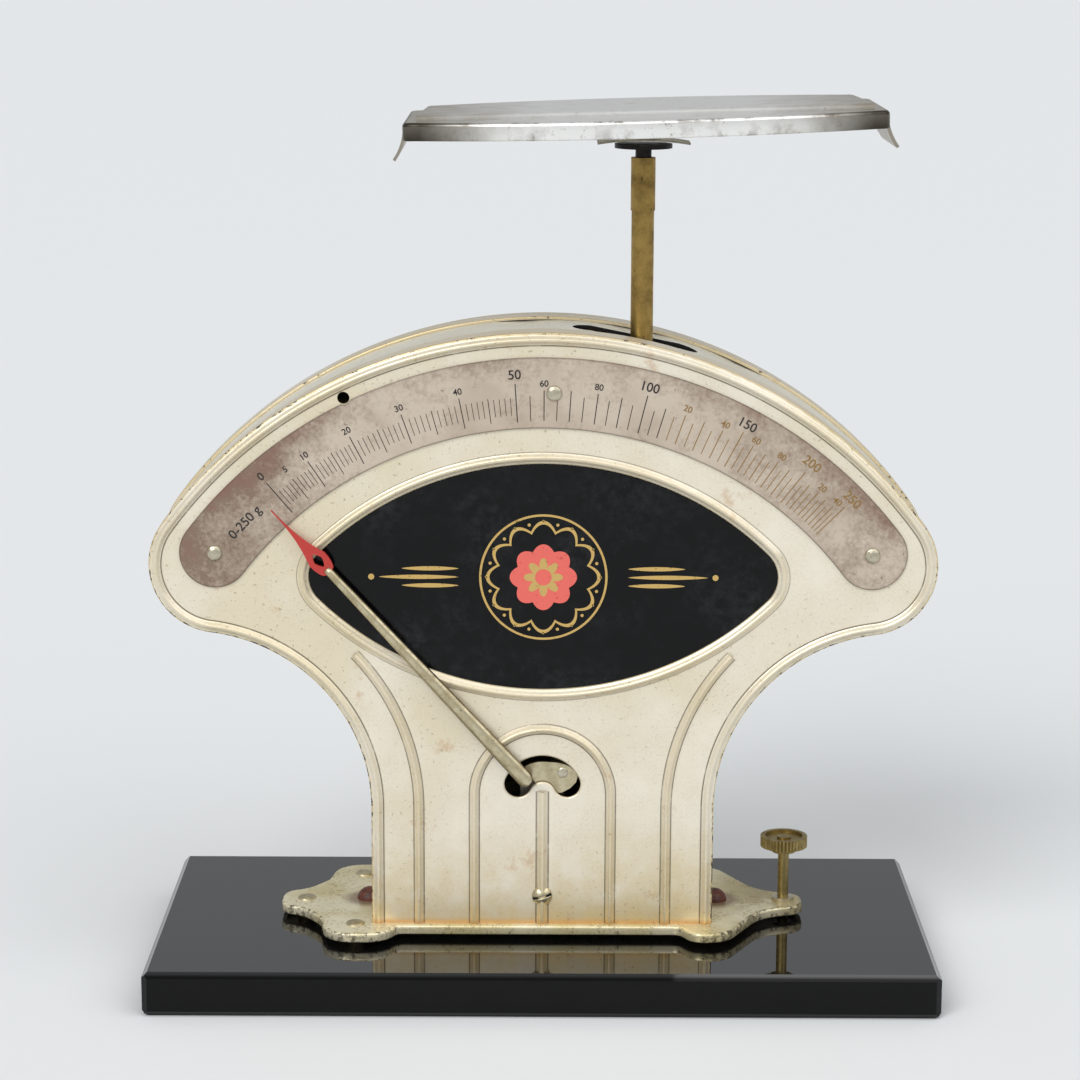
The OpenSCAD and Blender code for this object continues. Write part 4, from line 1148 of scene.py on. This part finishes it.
def make_lug():
    """Radius against angle: LUG_R + LUG_SWELL s2(3 - 2s), with s from 0 to 1 between 5 and 55 degrees."""
    turn = np.radians(np.concatenate([np.linspace(-32, 62, 40), [70, 78, 86]]))
    swell = np.clip((np.degrees(turn) - 5) / 50, 0, 1)
    radius = LUG_R + LUG_SWELL * swell * swell * (3 - 2 * swell)
    radius[-3:] = [9.6, 7.6, 5.2]
    back = np.radians(np.linspace(86, -32, 20))
    outline = np.concatenate([
        np.stack([radius * np.sin(turn), radius * np.cos(turn)], 1),
        np.stack([LUG_INNER * np.sin(back), LUG_INNER * np.cos(back)], 1),
    ]) + [0, AXIS_Z]
    a = round_angles(32)
    ring = about_axis(SLOT_R, 90 + REST) + PIN_R * np.stack([np.cos(a), np.sin(a)], 1)
    verts, faces, _ = combine([
        *both_sides(outline, [], 0.0, -LUG_SHEET),
        wall(lifted(outline, 0.0), lifted(outline, -LUG_SHEET), 0.0),
        wall(lifted(ring, 0.0), lifted(ring, LUG_FRONT - POINTER_Y), 0.0),
    ])
    piece = new_piece("pointer_lug", upright(verts, LUG_FRONT), faces, "beam", POINTER_NICKEL)
    return turn_outward(piece)


for made, node in ((arm, "pointer_arm"), (head, "pointer_head"), (make_lug(), "pointer_bracket")):
    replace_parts(made, node)
print("lug front at y", round(float(LUG_FRONT), 2), "mm")

# %% [markdown]
# The case is held by slotted round-head screws, front and back. A slot cut through a dome
# leaves long thin faces, so each head is two halves of a dome with the slot between them. A
# floor under the slot is a piece of its own, because it is near black: painted shade in the slot.

# %% Slotted screws
SCREW_R, SCREW_H, SLOT_GAP, SLOT_FLOOR, SCREW_TILT = 2.7, 1.5, 0.38, 0.4, 14


def dome_halves():
    """Half domes h = H(1 - r2/R2)^0.7 on both sides of the slot, each with a wall into it."""
    parts = []
    for half in (-1, 1):
        v = half * np.linspace(SLOT_GAP, SCREW_R - 0.01, 16)[:, None]
        u = np.linspace(-1, 1, 31) * np.sqrt(SCREW_R**2 - v**2)
        h = SCREW_H * np.maximum(1 - (u**2 + v**2) / SCREW_R**2, 0) ** 0.7
        dome = np.stack([u, v + 0 * u, h], -1)
        foot = np.stack([u[0], v[0] + 0 * u[0], np.minimum(h[0], SLOT_FLOOR)], -1)
        parts.append((np.concatenate([foot[None], dome]).reshape(-1, 3), grid_faces(17, 31), 0.0))
    return combine(parts)


def slot_floor():
    """A flat strip as long as the slot."""
    reach = SCREW_R - 0.06
    strip = [(-reach, -SLOT_GAP), (reach, -SLOT_GAP), (reach, SLOT_GAP), (-reach, SLOT_GAP)]
    return lifted(strip, SLOT_FLOOR), [[0, 1, 2, 3]], 0.0


def set_in_case(part):
    """The part at the front screw and at the back one, turned by the slot's tilt."""
    low, high = box_mm("case_screws")
    verts, faces, rim = part
    a = math.radians(SCREW_TILT)
    x = verts[:, 0] * math.cos(a) - verts[:, 1] * math.sin(a)
    z = verts[:, 0] * math.sin(a) + verts[:, 1] * math.cos(a) + (low[2] + high[2]) / 2
    turned = np.stack([x, z, verts[:, 2]], 1)
    return combine([
        (upright(turned, low[1] + SCREW_H), faces, rim), (upright(turned, high[1] - SCREW_H, 1), faces, rim),
    ])


verts, faces, rim = set_in_case(dome_halves())
screws = new_piece("slotted_case_screws", verts, faces, "stand", POINTER_NICKEL, rim)
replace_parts(turn_outward(screws), "case_screws")
# the slot floors are near black: painted shade in the screw slots
verts, faces, rim = set_in_case(slot_floor())
new_piece("screw_slots", verts, faces, "stand", PAINTED_SLOT_SHADE, rim)
print("screw heads", len(screws.data.polygons), "faces")

# %% [markdown]
# The panel's ornament is a generic one: a round rosette with a coral heart between two
# gold flourishes made of tapering bars and dots. Each figure is a flat mesh from a polar
# or a straight formula, a twentieth of a millimetre over the enamel.

# %% Rosette
PANEL_Y = box_mm("eye_panel")[0][1] - 0.05
TURN = round_angles(240)
DISC = 0.02


def flat_ring(name, inner, outer, material, centre=(0, 0), lift=0.0):
    """The ring between two radii, which are numbers or follow the angle TURN.

    Its points are (r sin a, r cos a), and an inner radius of DISC makes it a full disc.
    """
    loops = [
        lifted(np.stack([centre[0] + r * np.sin(TURN), EYE_Z + centre[1] + r * np.cos(TURN)], 1), lift)
        for r in (inner, outer)
    ]
    verts, faces, _ = wall(*loops, 0.0)
    new_piece(name, upright(verts, PANEL_Y), faces, "stand", material, smooth=False)


def petals(r, count, wave):
    """A radius that swells and sinks count times round: r(1 + wave |cos(count a / 2)|)."""
    return r * (1 + wave * np.abs(np.cos(count / 2 * TURN)))


flat_ring("rosette_outer_ring", 16.4, 17.0, GOLD_INK)
flat_ring("rosette_petals", petals(11.9, 12, 0.2), petals(12.7, 12, 0.2), GOLD_INK)
flat_ring("rosette_heart", DISC, petals(7.3, 8, 0.22), CORAL_INK)
flat_ring("rosette_star", 2.2, petals(2.8, 8, 0.85), GOLD_INK, lift=0.03)
for k in range(24):
    turn = 2 * math.pi * k / 24
    out, size = (14.6, 0.42) if k % 2 else (15.2, 0.28)
    flat_ring("rosette_dot_%02d" % k, DISC, size, GOLD_INK, (out * math.sin(turn), out * math.cos(turn)))
print("rosette made")

# %% [markdown]
# Each flourish is three bars whose half width follows a sine along their length, so that
# they taper at both ends, and a dot beyond them.

# %% Flourishes
x = np.linspace(0, 1, 40)
half = 0.55 * np.sin(math.pi * x) ** 0.7 + 0.03
for side in (-1, 1):
    for row, (length, rise) in enumerate([(21, 0.0), (15, 2.3), (15, -2.3)]):
        across = side * (22.5 + length * x)
        edges = [lifted(np.stack([across, EYE_Z + rise + h], 1), 0.0) for h in (-half, half)]
        verts = np.stack(edges, 1).reshape(-1, 3)
        new_piece("flourish_%d_%d" % (side + 1, row), upright(verts, PANEL_Y), grid_faces(40, 2), "stand",
                  GOLD_INK, smooth=False)
    flat_ring("flourish_dot_%d" % (side + 1), DISC, 0.8, GOLD_INK, (side * 45.6, 0))
print("flourishes made")

# %% [markdown]
# The base plate is stamped from sheet and its edge is turned down all round. Its outline
# could be traced point by point, but a polygon with a radius at every corner is easier to
# mend. It is given for one half and mirrored.

# %% Outline of the base plate
REACH = box_mm("base_plate")[1][0]
TIP_RIGHT = 5.2
LOBE_X, LOBE_R, LOBE_OUT = 50.5, 8.2, 30.5
STRIP = -FACE_Y + 2.4
BULGE = STRIP + 6.4
PLATE_HALF = [
    (-REACH, -6.0, 5.6),
    (-65.5, -8.6, 10),
    (-60.2, -16.5, 12),
    (-LOBE_X - LOBE_R + 0.6, -LOBE_OUT, LOBE_R),
    (-LOBE_X + LOBE_R - 0.2, -LOBE_OUT, LOBE_R),
    (-LOBE_X + LOBE_R + 3.3, -STRIP, 3),
    (WALL_X - 9, -STRIP, 3),
    (WALL_X - 5.5, -BULGE, 5),
    (WALL_X + 3.5, -BULGE, 8),
    (REACH - 12, -TIP_RIGHT - 3.8, 14),
    (REACH, -TIP_RIGHT, TIP_RIGHT - 0.4),
]


def spun(vector, angles):
    """A vector turned by each angle: cos a times the vector, plus sin a times its left."""
    left = np.array([-vector[1], vector[0]])
    return np.cos(angles)[:, None] * vector + np.sin(angles)[:, None] * left


def rounded_path(corners, count=12):
    """A closed path round a polygon whose corners (x, y, radius) are turned to arcs.

    An arc starts r tan(turn / 2) before its corner, and its points are the start spun
    about the arc's centre.
    """
    at = np.array([c[:2] for c in corners], float)
    points, inward = [], []
    for i, (_, _, r) in enumerate(corners):
        u = at[i] - at[i - 1]
        v = at[(i + 1) % len(at)] - at[i]
        u, v = u / np.linalg.norm(u), v / np.linalg.norm(v)
        turn = math.atan2(u[0] * v[1] - u[1] * v[0], float(u @ v))
        left = np.array([-u[1], u[0]])
        start = at[i] - u * r * math.tan(abs(turn) / 2)
        centre = start + left * r * math.copysign(1, turn)
        angles = np.linspace(0, turn, count)
        points.append(centre + spun(start - centre, angles))
        inward.append(spun(left, angles))
    return np.concatenate(points), np.concatenate(inward)


PLATE_PATH = rounded_path(PLATE_HALF + [(x, -y, r) for x, y, r in PLATE_HALF[::-1]])
print("base plate outline", len(PLATE_PATH[0]), "points")

# %% [markdown]
# The profile of its edge runs from the flat top over a soft shoulder and down to a lip. A
# round bore goes through the sheet where the levelling screw's bush stands.

# %% Base plate
PLATE_EDGE, PLATE_SHEET = 1.2, 1.3
PLATE_PROFILE = [
    (PLATE_EDGE, 0.0), *corner(0.8, 7),
    (0.0, -2.2), (0.1, -2.5), (0.35, -2.6), (0.8, -2.6), (1.1, -2.4), (PLATE_EDGE, -PLATE_SHEET),
]
PLATE_RIM = [0.4, 0.6, 0.9, 1, 1, 1, 0.9, 0.8, 0.9, 0.9, 0.7, 0.5, 0.3, 0.2]
BORE_R = 2.52


def make_base_plate():
    """The stamped plate with its lip, and a round bore that takes the levelling screw."""
    low, high = box_mm("levelling_bush")
    a = round_angles(40)
    bore = np.stack([(low[0] + high[0]) / 2 + BORE_R * np.cos(a), BORE_R * np.sin(a)], 1)
    verts, faces, values = combine([
        swept(PLATE_PATH, PLATE_PROFILE, PLATE_RIM),
        *both_sides(PLATE_PATH[0] + PLATE_PATH[1] * PLATE_EDGE, [bore], 0.0, -PLATE_SHEET),
        wall(lifted(bore, -PLATE_SHEET), lifted(bore, 0.0), 0.0),
    ])
    piece = new_piece("base_plate_stamped", verts + [0, 0, PLATE_TOP], faces, "stand", PLATE_LACQUER, values)
    return turn_outward(piece)


base_plate = make_base_plate()
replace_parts(base_plate, "base_plate")
print("base plate", len(base_plate.data.polygons), "faces")

# %% [markdown]
# The pan is a shallow stamped tray, upside down: bowed front and back, straight ends and a
# rolled skirt. Its outline is arcs that touch, so that the skirt's sweep stays smooth. One
# half is worked out and turned round for the other.

# %% Outline of the pan
PAN_W, PAN_D, PAN_END = 125.0, 76.0, 48.0
PAN_CORNER = 3


def pan_path(inset=0.0):
    """Back bow, left end, front bow and right end, with small rounded corners.

    The bow's radius is (w2 + h2) / 2h, from its half width w and its rise h.
    """
    half_w, rise = PAN_W / 2, (PAN_D - PAN_END) / 2
    bow = (half_w**2 + rise**2) / (2 * rise)
    reach, r, c = half_w - inset, bow - inset, PAN_CORNER
    turn = math.degrees(math.asin((reach - c) / r))
    back = arc_path(0, PAN_D / 2 - bow, r, 90 - turn, 90 + turn, 60)
    end_y = float(back[0][-1][1]) - c * math.cos(math.radians(turn))
    half_round = join(
        back,
        arc_path(c - reach, end_y, c, 100 + turn, 180, 6),
        arc_path(c - reach, -end_y, c, 180, 260 - turn, 6),
    )
    return join(half_round, (-half_round[0], -half_round[1]))


print("pan outline", len(pan_path()[0]), "points, radius of its corners", PAN_CORNER)

# %% [markdown]
# Two parts are added under the stamped tray: a round boss that sits on the post, and a
# tongue bent down and outward at each end. Both are grids: the boss goes round its axis,
# and a tongue's closed section of sheet is carried across.

# %% Boss and tongues
PAN_SKIRT, PAN_SHEET = 4.7, 0.8
PAN_TOP = PAN_SKIRT + 2.3
BOSS_R = 5.0
BEND_R, TONGUE_W = 15.0, PAN_END - 8


def boss():
    """A turned profile (p, h) as (p cos a, p sin a, h), with a small rounding at its foot."""
    profile = np.array([(0.01, 0.0), (BOSS_R - 0.4, 0.0), (BOSS_R, 0.4), (BOSS_R, PAN_TOP - PAN_SHEET)])
    a = round_angles(48)[:, None]
    p, h = profile.T
    rings = np.stack(np.broadcast_arrays(p * np.cos(a), p * np.sin(a), h), -1)
    return rings.reshape(-1, 3), grid_faces(48, 4, True), 0.0


def tongue(side):
    """An arc of sheet (out - r cos a, down - r sin a) with its thickness, narrower at its tip."""
    turn = np.radians(np.linspace(0, 37, 16))
    out, down = PAN_W / 2 + BEND_R, PAN_TOP - PAN_SHEET
    outer, inner = (
        np.stack([out - r * np.cos(turn), down - r * np.sin(turn)], 1) for r in (BEND_R, BEND_R + PAN_SHEET)
    )
    x, z = np.concatenate([outer, inner[::-1]]).T[:, :, None]
    taper = 1 - 0.12 * np.concatenate([np.linspace(0, 1, 16), np.linspace(1, 0, 16)])[:, None]
    across = np.linspace(-TONGUE_W / 2, TONGUE_W / 2, 30)
    verts = np.stack(np.broadcast_arrays(side * x, across * taper, z), -1)
    return verts.reshape(-1, 3), tube_faces(32, 30), 0.6


print("boss", len(boss()[1]), "faces, tongue", len(tongue(1)[1]), "faces")

# %% [markdown]
# The middle of the tray is raised by a soft step. The pan leans a little on its worn
# spring, so everything is made level and leaned once at the end.

# %% Pan
PAN_X = float(np.mean([box_mm("post_tube")[0][0], box_mm("post_tube")[1][0]]))
BOSS_Z = box_mm("pan_spring")[1][2] + 0.2
PAN_LEAN = 1.75
PAN_EDGE = 1.8
PLATFORM, PLATFORM_IN, PLATFORM_REACH = 1.4, 3.5, ([-59, -20], [59, 35])
PAN_PROFILE = [
    (PAN_EDGE, 0.0), *corner(1.1, 8),
    (0.0, -PAN_SKIRT + 0.5), (0.1, -PAN_SKIRT + 0.1), (0.4, -PAN_SKIRT), (0.8, -PAN_SKIRT + 0.2),
    (0.9, -1.6), (PAN_EDGE, -PAN_SHEET),
]
PAN_RIM = [0.2, 0.4, 0.7, 0.9, 1, 1, 1, 0.9, 0.8, 0.9, 1, 1, 0.6, 0.3, 0.1]


def platform():
    """The raised middle: the pan's own outline, cut to a smaller reach, with a step round it."""
    points, inward = pan_path(PLATFORM_IN)
    keep = np.clip(points, *PLATFORM_REACH)
    inward = np.where(np.abs(keep - points).max(1)[:, None] > 0.01, [0, 1] * -np.sign(keep), inward)
    step = [(0.0, 0.01), (0.5, 0.12), (1.1, 0.8), (1.6, 1.25), (2.3, PLATFORM)]
    field, faces = filled(keep + inward * step[-1][0])
    return [swept((keep, inward), step, [0.3] * len(step)), (lifted(field, PLATFORM), faces, 0.0)]


def lean(points):
    """Turns points about the pan's seat by its lean and sets them over the post."""
    a = math.radians(-PAN_LEAN)
    x = points[:, 0] * math.cos(a) + points[:, 2] * math.sin(a)
    z = -points[:, 0] * math.sin(a) + points[:, 2] * math.cos(a)
    return np.stack([x + PAN_X, points[:, 1], z + BOSS_Z], 1)


def make_pan():
    """Skirt and top, raised middle, boss and tongues as one stamped piece."""
    path = pan_path()
    verts, faces, values = combine([
        swept(path, PAN_PROFILE, PAN_RIM),
        *both_sides(path[0] + path[1] * PAN_EDGE, [], 0.0, -PAN_SHEET),
        *platform(),
    ])
    tray = (verts + [0, 0, PAN_TOP], faces, values)
    verts, faces, values = combine([tray, boss(), tongue(-1), tongue(1)])
    piece = new_piece("pan_stamped", lean(verts), faces, "pan", PAN_NICKEL, values)
    return turn_outward(piece)


pan = make_pan()
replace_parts(pan, "pan_plate")
print("pan", len(pan.data.polygons), "faces")

# %% [markdown]
# The floor and the light: plain pale paper, a grey sky and two large soft suns, so that a
# colour renders about as it is written.

# %% Floor and light
floor_mesh = bpy.data.meshes.new("floor")
floor_mesh.from_pydata([(-20, -20, 0), (20, -20, 0), (20, 60, 0), (-20, 60, 0)], [], [(0, 1, 2, 3)])
paper, paper_tree, paper_shader, _ = finish("pale_paper_floor")
fill(paper_tree, paper_shader, {"Base Color": linear("#E7E9EA"), "Roughness": 0.9, "Specular IOR Level": 0.1})
floor_mesh.materials.append(paper)
floor = bpy.data.objects.new("floor", floor_mesh)
bpy.context.scene.collection.objects.link(floor)

world = bpy.data.worlds.new("studio")
bpy.context.scene.world = world
world.use_nodes = True
sky = world.node_tree.nodes["Background"]
fill(world.node_tree, sky, {"Color": linear("#C8CACC"), "Strength": 0.74})


def sun(name, strength, tilt, turn, spread):
    """A wide soft sun: tilt from straight down, turned about Z."""
    lamp = bpy.data.lights.new(name, "SUN")
    lamp.energy = strength
    lamp.angle = math.radians(spread)
    holder = bpy.data.objects.new(name, lamp)
    holder.rotation_euler = (math.radians(tilt), 0, math.radians(turn))
    bpy.context.scene.collection.objects.link(holder)


sun("key_sun", 1.6, 50, -30, 36)
sun("fill_sun", 0.95, 42, 50, 60)
print("floor and two suns set")

# %% [markdown]
# A long lens stands at the photograph's angle. It follows from the slab's corners in the
# photograph: its distance, height and tilt are real lengths, and the small roll and shift
# are those of the hand-held frame.

# %% Camera
LENS, SENSOR = 102.3, 36.0
SHIFT, FRAME = -3.5, 1080
AWAY, HEIGHT = 814.5, 286
LOOKS_DOWN, ROLL = 11.68, 0.24
camera_data = bpy.data.cameras.new("camera")
camera_data.lens = LENS
camera_data.sensor_width = SENSOR
camera_data.shift_x = SHIFT / FRAME
camera_data.clip_end = 200
camera = bpy.data.objects.new("camera", camera_data)
tilt = Matrix.Rotation(math.radians(90 - LOOKS_DOWN), 4, "X")
roll = Matrix.Rotation(math.radians(ROLL), 4, "Z")
camera.matrix_world = Matrix.Translation((0, -AWAY * MM, HEIGHT * MM)) @ tilt @ roll
bpy.context.scene.collection.objects.link(camera)
bpy.context.scene.camera = camera
bpy.context.scene.view_settings.view_transform = "Standard"
print("camera", AWAY, "mm away and", HEIGHT, "mm up")
